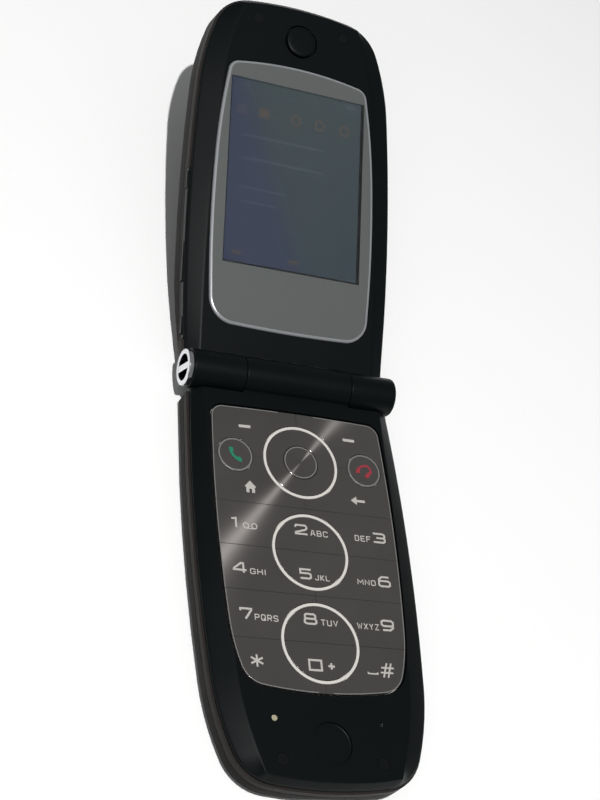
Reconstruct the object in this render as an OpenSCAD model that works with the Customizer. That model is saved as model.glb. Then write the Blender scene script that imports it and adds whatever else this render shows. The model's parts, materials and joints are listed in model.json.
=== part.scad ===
// Slim folding mobile phone, open, lying on its back.
// +X is the user's right, +Y runs from the keypad end to the lid, +Z is up.
// The origin is on the table, under the middle of the opened phone.

/* [Overall] */
// Length of each half, from the hinge axis to its free end
half_len = 94.5; // [90:0.5:100]
// Half the width of each half at the hinge
root_half_w = 24.6; // [23:0.05:26]
// Thickness of the keypad half
base_t = 8.8; // [8.4:0.1:9.2]
// Thickness of the lid
lid_t = 8.9; // [8.4:0.1:9.2]
// Height of the keypad half's inner face over the hinge axis
face_h = 1.15; // [0.8:0.05:1.3]
// Gap between the two inner faces when the phone is shut
shut_gap = 0.3; // [0.25:0.05:0.5]
// Angle at which the opened lid rises above the keypad half
lid_rise = 18.4; // [10:0.1:25]

/* [Shell] */
// Width of the sloping facet along each long edge
facet_w = 4.4; // [3.5:0.1:4.6]
// Drop of that facet across the keypad half
base_facet_drop = 1.9; // [1.6:0.05:2]
// Drop of that facet across the lid
lid_facet_drop = 1.4; // [1.2:0.05:1.6]
// Height of the black shell's upright side, from the facet to the seam
skirt_h = 0.9; // [0.6:0.05:1]
// How far that upright side stands in from the trim band
skirt_step = 0.5; // [0.3:0.05:0.6]
// How far the lid's side stands out past the keypad half's
lid_grow = 0.25; // [0:0.05:0.4]
// Reach of the rounding along the keypad half's lower edge
base_soft = 2; // [1.6:0.1:2.2]
// Reach of the rounding along the outer cover's edge
lid_soft = 1.4; // [1.2:0.1:1.8]
// Wall between the outside and the hollow inside
wall = 2; // [1.8:0.1:2.2]
// Depth that the trim band is let into the side wall
band_depth = 0.9; // [0.7:0.1:1]
// Height of the keypad half's trim band
base_band_h = 1.9; // [1.6:0.1:2]
// Height of the lid's trim band
lid_band_h = 2.4; // [2.2:0.1:2.6]
// Height of the black strip that carries the lid's side keys
strip_h = 1.5; // [1.4:0.05:1.6]

/* [Hinge] */
// Radius of the hinge barrel
barrel_r = 4.5; // [4.3:0.1:4.6]
// Left end of the middle knuckle
mid_left = -12.2; // [-13:0.1:-11.5]
// Right end of the middle knuckle
mid_right = 13.7; // [13:0.1:14]
// Half the length of the barrel without its end pieces
barrel_half = 24.8; // [24.6:0.1:25]
// Gap between neighbouring knuckles
knuckle_gap = 0.12; // [0.1:0.01:0.2]
// Outer radius of the hollow pivot sleeve
sleeve_r = 3; // [2.8:0.1:3.1]
// Radius of the spring cartridge
cartridge_r = 3.2; // [3:0.1:3.4]

/* [Keypad] */
// Radius of each of the three light rings, at mid width
ring_r = 8.6; // [8.4:0.05:8.7]
// Width of a light ring
ring_w = 0.75; // [0.6:0.05:0.9]
// Thickness of a key plate
key_t = 0.8; // [0.7:0.05:0.9]
// Gap between neighbouring keys
key_gap = 0.12; // [0.1:0.01:0.16]
// Radius of the round call keys
call_r = 4.15; // [3.9:0.05:4.3]
// Radius of the centre key of the navigation ring
nav_r = 4.1; // [3.9:0.05:4.3]

/* [Display] */
// Width of the display window
window_w = 34.9; // [34:0.1:35.2]
// Height of the display window
window_h = 45.9; // [45:0.1:46.2]
// Distance from the hinge axis to the window's near edge
window_y = 26.6; // [26:0.1:27.5]
// Thickness of the clear cover lens
lens_t = 1; // [0.9:0.05:1.1]

/* [Battery] */
// Width of the battery pack
battery_w = 40; // [38:0.5:40]
// Length of the battery pack
battery_l = 34; // [30:0.5:34]
// Thickness of the battery cover
cover_t = 0.8; // [0.7:0.05:0.9]

/* [Hidden] */
$fn = 48;

// Clearances
snug = 0.05;            // between pieces of one half that touch in reality
sweep_r = barrel_r + 0.4; // what stays outside this radius clears a turning knuckle
over = 1;               // how far a cutting shape runs past what it cuts

// Heights in the keypad half, from the hinge axis
base_out = face_h - base_t;       // rear face, which lies on the table
base_seam = face_h - base_facet_drop - skirt_h;  // seam under the top shell
edge_roof = -1;                   // ceiling of the hollow under the facet
board_top = -1.35;
board_t = 0.9;
mat_top = -0.05;
key_top = face_h - 0.1;
key_bot = key_top - key_t;
dome_h = 0.35;
film_t = 0.1;
bay_roof = -3;                    // floor between the board and the battery

// Heights in the lid, from the hinge axis, in the lid's own tilted frame
lid_face = -face_h - shut_gap;
lid_out = lid_face - lid_t;
lid_seam = lid_face - lid_facet_drop - skirt_h;
lid_ceiling = lid_face - 1.65; // underside of the inner frame's plate
lens_top = lid_face + 0.15;
lens_bot = lens_top - lens_t;
lid_board_z = -5.75;
lid_board_t = 0.7;
ledge_z = lens_bot - 0.05;   // ledge that carries the lens

// Plan outline of a half: the long side bows out, tapers, turns the corner and closes
root_heading = 85.85;
side_arc = [478.5, 8.1, 6];    // radius, turn in degrees, steps
taper_arc = [57.8, 16.35, 5];
corner_arc = [10.5, 61.4, 8];
end_turn = 180 - root_heading - side_arc[1] - taper_arc[1] - corner_arc[1];

// Side profile of a half, thinner towards the hinge
base_arch = 18;              // where the rear face starts to rise
lid_arch = 37;
end_round = 3;

// Display lens: near edge, then the arcs of its right side as [radius, turn, steps]
lens_near = 11.7;
lens_arcs = [[314, 2.59, 3], [6.2, 83.78, 7], [325, 6.21, 4], [172.6, 7.06, 5], [3, 70.13, 6]];

// Keypad plate, described like the lens
keypad_near = 8.8;
keypad_arcs = [[484, 2.1, 3], [2.8, 84.56, 6], [381, 7.26, 6], [40, 14.03, 3], [5.7, 63.32, 7]];

// Keypad rows, as distances from the hinge axis
nav_y = 21.05;
row_lines = [32.5, 42.75, 52.9, 63.5];
ring_y = [nav_y, row_lines[1], row_lines[3]];
ring_in = ring_r - ring_w / 2;
ring_out = ring_r + ring_w / 2;
nav_tilt_clear = 0.2;        // room for the ring to tilt over its pad
side_x = 15.6;               // centre of the outer key columns
soft_at = [13, 14.4];        // x and distance of a soft key's actuator
call_at = [side_x, 21.1];
menu_at = [13, 28.9];
digit_rows = [37.8, 48, 58.6, 68.3];
mid_rows = [38.6, 47, 59.4, 67.7];
nav_dome_r = 6.2;

// Small features of the keypad half
disc_y = 85;                 // round earpiece disc and the recess that takes it
disc_r = 3.75;
end_screw = [11.2, 88.7];    // x and distance of the screws at the free end
root_screw = [18.5, 6.9];    // x and distance of the screws by the hinge
root_seat = -5.2;            // height under which their heads lie
screw_r = 0.7;
screw_head_r = 1.3;
screw_head_h = 0.6;
boss_r = 2;
root_boss_r = 1.65;
light_at = [-12.2, 80.3];
mic_at = [11.8, 80.5];
speaker_at = [-17.2, 24.5];
motor_at = [17.6, 25.5];
motor_r = 1.55;
usb_y = 60;
usb_w = 7.5;
usb_z = [-6.15, -3.8];       // lower and upper side of the socket's shell

// Battery bay
bay_half_w = battery_w / 2 + 0.3;
bay_near = 35;
bay_far = bay_near + battery_l + 18;
cover_half_w = 21.2;
cover_near = 34.5;
sim_y = 43;

// Lid details
camera_y = 26;
outer_lcd_y = 52;
outer_window = [13.5, 14.5]; // half its width and length
side_key_z = lid_seam - 0.65;
side_key_half_h = 0.5;
strip_ends = [7.6, 48.5];
// Keys in the lid's left side: distance from the hinge, half length, outer face
rocker = [25.7, 4.65, 26.05];
upper_key = [45.5, 2.05, 26.1];
lower_key = [10.75, 1.95, 25.5];

hinge_z = -base_out;
// The lid's outer end corner is the farthest point; the origin is half way along
lid_reach = (half_len - 0.15) * cos(lid_rise) - (lid_out + end_round - 1) * sin(lid_rise);
hinge_y = (half_len - lid_reach) / 2;

BLACK = "#1d2021";
GUNMETAL = "#4b4744";
SILVER = "#8d8a86";
KEYS = "#57524f";
STEEL = "#b9bcc0";
BOARD = "#1f5a3c";
WHITE = "#e8e4dc";
GLASS = "#59646b";

// ---------------------------------------------------------------- outlines

// Points along an arc that starts at p with a heading and turns left
function arc_points(p, heading, radius, turn, steps) =
  [for (i = [1:steps]) let (a = heading + turn * i / steps)
    [p.x + radius * (sin(a) - sin(heading)), p.y + radius * (cos(heading) - cos(a))]];

// Chain of left-turning arcs, each [radius, turn, steps], moved inwards by inset
function arc_chain(p, heading, arcs, inset, i = 0) =
  i == len(arcs) ? [] :
  let (pts = arc_points(p, heading, arcs[i][0] - inset, arcs[i][1], arcs[i][2]))
    concat(pts, arc_chain(pts[len(pts) - 1], heading + arcs[i][1], arcs, inset, i + 1));

function mirrored(pts) = [for (i = [len(pts) - 1:-1:0]) [-pts[i].x, pts[i].y]];

// Right side of a half's outline, from the hinge to the free end
function half_side(inset) =
  let (start = [root_half_w - inset * sin(root_heading), inset * cos(root_heading)],
       body = concat([start], arc_chain(start, root_heading, [side_arc, taper_arc, corner_arc], inset)),
       last = body[len(body) - 1],
       raw_end = last.y + last.x * tan(end_turn / 2),
       stretch = half_len - inset - raw_end)
    // the straight root takes up what the arcs leave of the length
    concat([start], [for (p = [for (i = [1:len(body) - 1]) body[i]]) [p.x, p.y + stretch]],
      arc_points([last.x, last.y + stretch], 180 - end_turn, last.x / sin(end_turn), end_turn * 0.999, 3));

module outline(inset = 0) {
  side = half_side(inset);
  polygon(concat([[side[0].x, 0]], side, mirrored(side), [[-side[0].x, 0]]));
}

function total_turn(arcs, i = 0) = i == len(arcs) ? 0 : arcs[i][1] + total_turn(arcs, i + 1);

// Right side of a plate, from the middle of its near edge; one last arc closes the far edge
function plate_side(near, arcs, inset) =
  let (start = [0, near + inset],
       pts = arc_chain(start, 0, arcs, inset),
       last = pts[len(pts) - 1],
       left_turn = 180 - total_turn(arcs))
    concat([start], pts, arc_points(last, 180 - left_turn, last.x / sin(left_turn), left_turn, 4));

module plate(near, arcs, inset) {
  pts = plate_side(near, arcs, inset);
  polygon(concat(pts, [for (p = mirrored(pts)) if (p.x < -0.001) p]));
}

module keypad_outline(inset = 0) plate(keypad_near, keypad_arcs, inset);

module lens_outline(inset = 0) plate(lens_near, lens_arcs, inset);

// ------------------------------------------------------------ solid helpers

// Child solids are drawn for a half that runs along +Y from the hinge axis.
// The keypad half is that shape turned end for end; the lid is tilted up.
module in_base() translate([0, hinge_y, hinge_z]) mirror([0, 1, 0]) children();
module in_lid() translate([0, hinge_y, hinge_z]) rotate([lid_rise, 0, 0]) children();

module slab(z0, z1) translate([0, 0, z0]) linear_extrude(z1 - z0) children();

module block(x0, x1, y0, y1, z0, z1) translate([x0, y0, z0]) cube([x1 - x0, y1 - y0, z1 - z0]);

module along_x(r, x0, x1) translate([x0, 0, 0]) rotate([0, 90, 0]) cylinder(r = r, h = x1 - x0);

module post(at, r, z0, z1) translate([at.x, at.y, z0]) cylinder(r = r, h = z1 - z0);

module both_sides(at) for (side = [-1, 1]) translate([side * at.x, at.y, 0]) children();

// Region under the inner face: rear face, arch to the hinge and rounded free end
module side_profile(out, arch, inset) {
  rise = -barrel_r - out;
  arch_r = (arch * arch + rise * rise) / (2 * rise);
  r = arch_r - inset;
  max_angle = asin(arch / r);
  arch_pts = [for (i = [0:5]) let (a = max_angle * i / 5) [arch - r * sin(a), out + arch_r - r * cos(a)]];
  end_c = [half_len - end_round, out + end_round];
  end_pts = [for (i = [0:4]) let (a = 90 * i / 4)
    [end_c.x + (end_round - inset) * cos(a), end_c.y - (end_round - inset) * sin(a)]];
  rotate([90, 0, 90]) linear_extrude(80, center = true)
    polygon(concat([[half_len - inset, 20]], end_pts, arch_pts, [[0, 20]]));
}

// Region inside the outer wall, rounded all along the edge where the wall meets the rear face
module soft_edge(out, reach, grow) hull() {
  // share of the reach inwards from the wall, and upwards from the rear face
  for (step = [[1, 0], [0.5, 0.15], [0.15, 0.475], [-0.1, 1]])
    translate([0, 0, out + step[1] * reach]) linear_extrude(0.01) outline(step[0] * reach - grow);
  translate([0, 0, 10]) linear_extrude(0.01) outline(-grow - over);
}

module half_body(out, arch, top, inset = 0, grow = 0) intersection() {
  slab(out - over, top) outline(inset - grow);
  side_profile(out, arch, inset);
}

// Outside of a half under its seam
module outer_form(out, arch, top, reach, grow) intersection() {
  half_body(out, arch, top, 0, grow);
  soft_edge(out, reach, grow);
}

// Flat face with a long facet down each side and a short slope at the free end, over an upright side
module faceted_slab(face, drop, step) {
  inner = half_side(facet_w);
  taper_from = 7;
  long_side = [for (i = [0:taper_from]) inner[i]];
  hull() {
    translate([0, 0, face - 0.01]) linear_extrude(0.01) intersection() {
      polygon(concat(long_side, [[13.4, 100], [-13.4, 100]], mirrored(long_side)));
      outline(1.5);
    }
    translate([0, 0, face - drop]) linear_extrude(0.01) outline(step);
  }
  slab(face - drop - skirt_h, face - drop + 0.005) outline(step);
}

// Ring of trim let into the side wall, open at the hinge
module trim(top, out, arch, root, height, grow) difference() {
  half_body(out, arch, top, 0, grow);
  slab(top - 20, top + over) outline(band_depth);
  slab(out - over, top - height) outline(-over);
  block(-40, 40, -over, root, -20, 5);
}

// Tub under the trim: walls, floor and the rebate that seats the trim
module tub(out, arch, top, root, band_height, reach, grow) difference() {
  outer_form(out, arch, top, reach, grow);
  intersection() {
    half_body(out, arch, top + over, wall - 0.8);
    slab(out, top + over) outline(wall);
    block(-40, 40, root + 1.2, 120, -20, 20);
  }
  difference() {
    slab(top - band_height - snug, top + over) outline(-over);
    slab(top - band_height - over, top + 2 * over) outline(band_depth + snug);
  }
}

// ------------------------------------------------------------- keypad half

module base_top_shell() color(BLACK) in_base() {
  difference() {
    union() {
      difference() {
        faceted_slab(face_h, base_facet_drop, skirt_step);
        block(-40, 40, -over, sweep_r + 0.05, -10, 10);
        // hollow underside, leaving a skin round the keypad
        intersection() {
          union() {
            slab(base_seam - over, 0) outline(wall + 0.9);
            slab(base_seam - over, edge_roof) outline(wall);
          }
          block(-40, 40, 6.6, 120, -5, 5);
        }
      }
      both_sides(end_screw) translate([0, 0, board_top + snug])
        cylinder(r = boss_r, h = snug - board_top);
      both_sides(root_screw) translate([0, 0, board_top + snug])
        cylinder(r = root_boss_r, h = snug - board_top);
      // saddle that joins the middle knuckle to the face
      block(mid_left + knuckle_gap / 2, mid_right - knuckle_gap / 2, 0, sweep_r + 0.1, base_seam, face_h);
      along_x(barrel_r, mid_left + knuckle_gap / 2, mid_right - knuckle_gap / 2);
    }
    slab(-3, 3) keypad_outline(-0.12);
    // bores for the hinge parts
    along_x(sleeve_r + 0.02, mid_left - over, -4);
    along_x(cartridge_r - 0.38, 0, mid_right + over);
    // way in for the flexible circuit
    along_x(2.3, -5, -1);
    block(-3.8, -1.2, 0, 8, -0.45, 0);
    translate([0, disc_y, face_h - 0.55]) cylinder(r = disc_r + 0.75, h = over);
    both_sides(end_screw) translate([0, 0, -0.2]) cylinder(r = screw_head_r + 0.07, h = 3);
    both_sides(end_screw) translate([0, 0, -3]) cylinder(r = screw_r + 0.08, h = 4);
    both_sides(root_screw) translate([0, 0, -3]) cylinder(r = screw_r + 0.02, h = 3.4);
    post(light_at, 0.65, -over, 3);
    post(mic_at, 0.45, -over, 3);
  }
}

module base_trim_band() color(SILVER) in_base()
  trim(base_seam - snug, base_out, base_arch, sweep_r + 0.05, base_band_h, 0);

module base_rear_case() color(GUNMETAL) in_base() difference() {
  union() {
    difference() {
      tub(base_out, base_arch, base_seam - snug, 5.5, base_band_h, base_soft, 0);
      // outer corners and middle clear the barrel
      difference() {
        block(-40, 40, -over, sweep_r + 0.05, -20, 5);
        block(mid_left + knuckle_gap / 2, mid_right - knuckle_gap / 2, 2.5, 10, -20, 5);
      }
      along_x(barrel_r + snug, -40, 40);
    }
    // battery bay, solid up to its roof, inside the trim band
    intersection() {
      outer_form(base_out, base_arch, -2.55, base_soft, 0);
      slab(-20, 5) outline(band_depth + snug);
      block(-bay_half_w - 1, bay_half_w + 1, bay_near - 1, bay_far + 1, -20, -2.55);
    }
    both_sides(end_screw) translate([0, 0, base_out + 1]) cylinder(r = boss_r, h = -2.35 - base_out - 1);
    both_sides(root_screw) translate([0, 0, root_seat - 0.4])
      cylinder(r = root_boss_r, h = -2.35 - root_seat + 0.4);
  }
  block(-bay_half_w, bay_half_w, bay_near, bay_far, -20, bay_roof);
  // shallow seat of the sliding cover, open towards the free end
  block(-cover_half_w - 0.1, cover_half_w + 0.1, cover_near - 0.1, 120, -20, base_out + cover_t + snug);
  both_sides(end_screw) translate([0, 0, base_out + 1.4]) cylinder(r = screw_r + 0.02, h = 6);
  both_sides(root_screw) translate([0, 0, -9]) cylinder(r = screw_r + 0.08, h = 9);
  both_sides(root_screw) translate([0, 0, -9]) cylinder(r = screw_head_r + 0.07, h = 9 + root_seat);
  // charging port in the right side
  block(bay_half_w + 1.1, 40, usb_y - usb_w / 2 - 0.1, usb_y + usb_w / 2 + 0.1, usb_z[0] - 0.1, usb_z[1] + 0.1);
  // sound holes of the loudspeaker
  for (i = [0:6]) translate([speaker_at.x, speaker_at.y, -9])
    translate([i == 6 ? 0 : 2 * cos(60 * i), i == 6 ? 0 : 2 * sin(60 * i), 0]) cylinder(r = 0.5, h = 4, $fn = 16);
}

module battery_cover() color(GUNMETAL) in_base() intersection() {
  outer_form(base_out, base_arch, base_out + cover_t, base_soft, 0);
  block(-cover_half_w, cover_half_w, cover_near, 120, -20, 0);
}

module battery() color("#2b2d30") in_base()
  block(-battery_w / 2, battery_w / 2, bay_far - battery_l - 0.3, bay_far - 0.3, base_out + cover_t + 0.15, bay_roof - snug);

// Card holder and battery contact block, both hanging from the bay's roof
module bay_connectors() color(STEEL) in_base() {
  near = bay_far - battery_l - 2.1;
  block(-5, 5, near, near + 1.1, bay_roof - 2, bay_roof);
  for (x = [-3.4, 0, 3.4]) block(x - 0.5, x + 0.5, near + 1.1, near + 1.7, bay_roof - 1.6, bay_roof - 0.6);
  difference() {
    block(-13.5, 13.5, sim_y - 7.4, sim_y + 7.4, -4.3, bay_roof);
    block(-12.6, 14, sim_y - 6.7, sim_y + 6.7, -4, -3.2);
    block(-8, 8, sim_y - 4, sim_y + 4, -5, -3.5);
  }
}

module main_board() color(BOARD) in_base() difference() {
  intersection() {
    slab(board_top - board_t, board_top) outline(wall + 0.3);
    block(-40, 40, 8.8, 91, -5, 0);
  }
  both_sides(end_screw) translate([0, 0, -4]) cylinder(r = 1, h = 4);
}

module shield_cans() color(STEEL) in_base()
  for (y = [9.4, 21.7]) difference() {
    block(-12.5, 12.5, y, y + 11.6, -3.75, board_top - board_t);
    block(-12.3, 12.3, y + 0.2, y + 11.4, -3.55, board_top);
  }

module dome_sheet() color(STEEL) in_base() {
  intersection() {
    slab(board_top, board_top + film_t) outline(wall + 1);
    block(-40, 40, 10.5, 76, -5, 0);
  }
  dome_places() translate([0, 0, board_top + film_t]) cylinder(r1 = 1.8, r2 = 1.1, h = dome_h, $fn = 24);
}

// Places of the snap domes, one under each key and four under the navigation ring
module dome_places() {
  key_places() children();
  for (a = [0:90:270]) translate([nav_dome_r * cos(a), nav_y + nav_dome_r * sin(a), 0]) children();
}

module key_places() {
  for (at = [soft_at, call_at, menu_at]) both_sides(at) children();
  for (y = digit_rows) both_sides([side_x, y]) children();
  for (y = mid_rows) translate([0, y, 0]) children();
  translate([0, nav_y, 0]) children();
}

module key_mat() color(WHITE) in_base() difference() {
  intersection() {
    slab(mat_top - 0.3, mat_top) outline(wall + 1);
    block(-40, 40, 8.9, 76.5, -5, 0);
  }
  key_places() translate([0, 0, -3]) cylinder(r = 1.3, h = 4, $fn = 24);
  translate([0, nav_y, -3]) cylinder(r = ring_in + 0.05, h = 4);
}

module light_rings() color(WHITE) in_base() for (y = ring_y) translate([0, y, mat_top]) difference() {
  cylinder(r = ring_out, h = key_top - mat_top);
  translate([0, 0, -over]) cylinder(r = ring_in, h = 4);
}

module microphone() color(STEEL) in_base() post(mic_at, 2, board_top, -0.1);

module loudspeaker() color("#3a3c3e") in_base() difference() {
  post(speaker_at, 4, -5.8, board_top - board_t - snug);
  post(speaker_at, 3.2, -6.5, -5.5);
}

module status_light_pipe() color(WHITE) in_base() {
  post(light_at, 0.62, -0.6, face_h - 0.03);
  post(light_at, 1.1, board_top, -0.6);
}

module usb_socket() color(STEEL) in_base() difference() {
  block(bay_half_w + 1.2, 24.9, usb_y - usb_w / 2, usb_y + usb_w / 2, usb_z[0], usb_z[1]);
  block(bay_half_w + 2, 30, usb_y - usb_w / 2 + 0.3, usb_y + usb_w / 2 - 0.3, usb_z[0] + 0.3, usb_z[1] - 0.3);
}

module motor_axis() translate([motor_at.x, motor_at.y, -4.15]) rotate([90, 0, 0]) children();

module vibration_motor() color(STEEL) in_base() motor_axis() difference() {
  union() {
    translate([0, 0, -7.5]) cylinder(r = motor_r, h = 8);
    translate([-motor_r, 0, -6]) cube([2 * motor_r, 1.8, 5]);
  }
  cylinder(r = 0.45, h = 3, $fn = 24);
}

module vibration_weight() color("#8f8f8f") in_base() motor_axis() {
  translate([0, 0, 0.1]) cylinder(r = 0.4, h = 3, $fn = 24);
  translate([0, 0, 0.8]) intersection() {
    cylinder(r = motor_r - 0.1, h = 3.2);
    translate([-2, -2, 0]) cube([4, 2.3, 3.2]);
  }
}

// Screw driven from the inner face, and the push-in cover over its head
module covered_screw(z_tip, z_seat, face) {
  translate([0, 0, z_tip]) cylinder(r = screw_r, h = z_seat - z_tip);
  translate([0, 0, z_seat]) difference() {
    cylinder(r = screw_head_r, h = screw_head_h);
    translate([0, 0, 0.3]) cylinder(r = 0.5, h = over, $fn = 6);
  }
  translate([0, 0, face - 0.6]) cylinder(r = screw_head_r, h = 0.57);
}

module base_screws() color(STEEL) in_base() {
  both_sides(end_screw) covered_screw(-5.4, -0.2, face_h);
  both_sides(root_screw) {
    translate([0, 0, root_seat]) cylinder(r = screw_r, h = 0.2 - root_seat);
    translate([0, 0, root_seat - screw_head_h]) difference() {
      cylinder(r = screw_head_r, h = screw_head_h);
      translate([0, 0, -over]) cylinder(r = 0.5, h = over + 0.3, $fn = 6);
    }
  }
}

module hinge_sleeve() color(STEEL) in_base() difference() {
  along_x(sleeve_r, -20, -4.05);
  along_x(sleeve_r - 0.5, -21, -3);
}

module hinge_flex() color("#b5702d") in_base() difference() {
  along_x(2.2, -18.5, -4.6);
  along_x(1.95, -20, -3);
  block(-20, -3, 0, 3, -0.6, 0.6);
}

module hinge_cam_shaft() color(STEEL) in_base() {
  along_x(cartridge_r - 0.4, 2, mid_right - 0.05);
  along_x(1.2, mid_right - 0.05, 22.4);
}

// ------------------------------------------------------------------- keys

// Every key is a piece of one plate: the region it is given, less the rings and round keys
module key_plate(stem_at) {
  slab(key_bot, key_top) intersection() {
    keypad_outline(0);
    difference() {
      children();
      for (y = ring_y) translate([0, y]) circle(r = ring_out + 0.1);
      for (side = [-1, 1]) translate([side * call_at.x, call_at.y]) circle(r = call_r + key_gap / 2);
    }
  }
  stem(stem_at);
}

module stem(at) translate([at.x, at.y, board_top + film_t + dome_h + 0.3])
  cylinder(r = 1, h = key_bot - board_top - film_t - dome_h - 0.2, $fn = 24);

// Cell on the right (side = 1) or left (side = -1) between two distances from the hinge
module cell(side, y0, y1) {
  g = key_gap / 2;
  x0 = side > 0 ? g : -30;
  translate([x0, y0 + g]) square([30 - g, y1 - y0 - 2 * g]);
}

module side_cell_key(side, y0, y1, stem_at) color(KEYS) in_base()
  key_plate([side * stem_at.x, stem_at.y]) cell(side, y0, y1);

// Half disc inside a ring, on the near or the far side of the row line
module mid_key(ring, near_side, stem_y) color(KEYS) in_base() {
  y = ring_y[ring];
  slab(key_bot, key_top) intersection() {
    translate([0, y]) circle(r = ring_in - 0.1);
    translate([-15, near_side ? y - 15 - key_gap / 2 : y + key_gap / 2]) square([30, 15]);
  }
  stem([0, stem_y]);
}

module call_key(side) color(KEYS) in_base() {
  translate([side * call_at.x, call_at.y, key_bot]) cylinder(r = call_r - key_gap / 2, h = key_t);
  stem([side * call_at.x, call_at.y]);
}

module soft_key_left() side_cell_key(-1, 0, call_at.y, soft_at);
module soft_key_right() side_cell_key(1, 0, call_at.y, soft_at);
module home_key() side_cell_key(-1, call_at.y, row_lines[0], menu_at);
module back_key() side_cell_key(1, call_at.y, row_lines[0], menu_at);
module send_key() call_key(-1);
module end_key() call_key(1);
module key_1() side_cell_key(-1, row_lines[0], row_lines[1], [side_x, digit_rows[0]]);
module key_3() side_cell_key(1, row_lines[0], row_lines[1], [side_x, digit_rows[0]]);
module key_4() side_cell_key(-1, row_lines[1], row_lines[2], [side_x, digit_rows[1]]);
module key_6() side_cell_key(1, row_lines[1], row_lines[2], [side_x, digit_rows[1]]);
module key_7() side_cell_key(-1, row_lines[2], row_lines[3], [side_x, digit_rows[2]]);
module key_9() side_cell_key(1, row_lines[2], row_lines[3], [side_x, digit_rows[2]]);
module key_star() side_cell_key(-1, row_lines[3], 90, [side_x, digit_rows[3]]);
module key_hash() side_cell_key(1, row_lines[3], 90, [side_x, digit_rows[3]]);
module key_2() mid_key(1, true, mid_rows[0]);
module key_5() mid_key(1, false, mid_rows[1]);
module key_8() mid_key(2, true, mid_rows[2]);
module key_0() mid_key(2, false, mid_rows[3]);

module nav_key() color(KEYS) in_base() {
  translate([0, nav_y, key_bot]) cylinder(r = nav_r - key_gap / 2, h = key_t);
  stem([0, nav_y]);
}

module nav_ring() color(KEYS) in_base() translate([0, nav_y, key_bot]) difference() {
  cylinder(r = ring_in - 0.1, h = key_t);
  translate([0, 0, -over]) cylinder(r = nav_r + key_gap / 2, h = 3);
}

module nav_pad() color(WHITE) in_base() translate([0, nav_y, 0]) {
  translate([0, 0, mat_top - 0.3]) difference() {
    cylinder(r = ring_in - 0.3, h = key_bot - nav_tilt_clear - mat_top + 0.3);
    translate([0, 0, -over]) cylinder(r = nav_r + 0.4, h = 3);
  }
  for (a = [0:90:270]) rotate(a) translate([nav_dome_r, 0, -0.75]) cylinder(r = 0.8, h = 0.5, $fn = 24);
}

// --------------------------------------------------------------------- lid

module lid_inner_frame() color(BLACK) in_lid() difference() {
  union() {
    difference() {
      faceted_slab(lid_face, lid_facet_drop, skirt_step - lid_grow);
      // hollow underside round the board and the display
      intersection() {
        slab(lid_seam - over, lid_ceiling) outline(wall);
        block(-40, 40, 6.6, 120, -10, 5);
      }
      // the middle of the root clears the keypad half's knuckle and saddle
      block(mid_left - knuckle_gap / 2, mid_right + knuckle_gap / 2, -over, sweep_r + 0.3, -20, 20);
    }
    along_x(barrel_r, -barrel_half + 0.1, mid_left - knuckle_gap / 2);
    along_x(barrel_r, mid_right + knuckle_gap / 2, barrel_half + 0.1);
    both_sides([end_screw.x, end_screw.y]) translate([0, 0, lid_board_z + 0.75])
      cylinder(r = boss_r, h = lid_ceiling - lid_board_z);
    // black strip down the left side, round the side keys
    key_strip(0, strip_h);
  }
  slab(ledge_z, 3) lens_outline(-0.1);
  slab(-10, 3) intersection() {
    lens_outline(0.15);
    square_at(window_y + window_h / 2, window_w / 2 + 1.1, window_h / 2 + 1.7);
  }
  // room behind the strap bar
  along_x(2.9, -barrel_half - over, -barrel_half + 2.4);
  // running bore on the pivot sleeve, and the seat of the spring cartridge
  along_x(sleeve_r + snug, -21, mid_left + over);
  along_x(cartridge_r + 0.02, mid_right - over, barrel_half - 1);
  translate([0, disc_y, lid_face - 0.95]) cylinder(r = disc_r + 0.5, h = 3);
  // sound slots under the disc
  for (y = [-1, 1]) block(-2, 2, disc_y + y - 0.3, disc_y + y + 0.3, -5, lid_face - 0.9);
  left_side_pockets();
  both_sides(end_screw) translate([0, 0, lid_face - 1.25]) cylinder(r = screw_head_r + 0.07, h = 3);
  both_sides(end_screw) translate([0, 0, -9]) cylinder(r = screw_r + 0.08, h = 9);
}

module left_side_pockets() for (k = [rocker, upper_key, lower_key])
  block(-40, 3.2 - k[2], k[0] - k[1] - 0.1, k[0] + k[1] + 0.1,
    side_key_z - side_key_half_h - 0.1, side_key_z + side_key_half_h + 0.1);

// Strip of the left wall under the inner frame, grown by a margin to make its seat
module key_strip(grow, depth) intersection() {
  slab(lid_seam - depth - grow, lid_seam + 0.2) difference() {
    outline(grow > 0 ? -over : 0.1 - lid_grow);
    outline(wall);
  }
  block(-40, -20, strip_ends[0] - grow, strip_ends[1] + grow, -20, 5);
}

module lid_outer_cover() color(GUNMETAL) in_lid() difference() {
  union() {
    difference() {
      tub(lid_out, lid_arch, lid_seam - snug, 5.5, lid_band_h, lid_soft, lid_grow);
      block(mid_left - knuckle_gap / 2, mid_right + knuckle_gap / 2, -over, sweep_r + 0.3, -20, 5);
      block(-40, 40, -over, 3, -20, 5);
      along_x(barrel_r + snug, -40, 40);
    }
    both_sides(end_screw) translate([0, 0, lid_out + 1]) cylinder(r = boss_r, h = lid_board_z - lid_out - 1 - snug);
  }
  both_sides(end_screw) translate([0, 0, lid_out + 1.2]) cylinder(r = screw_r + 0.02, h = 8);
  key_strip(snug, strip_h);
  // seat and opening of the outer window
  slab(lid_out - over, lid_out + 0.85) window_outline(0.1);
  slab(lid_out - over, lid_out + 3) square_at(outer_lcd_y, 12.8, 12.8);
  translate([0, camera_y, lid_out - over]) cylinder(r = 3.3, h = 5);
}

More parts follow.
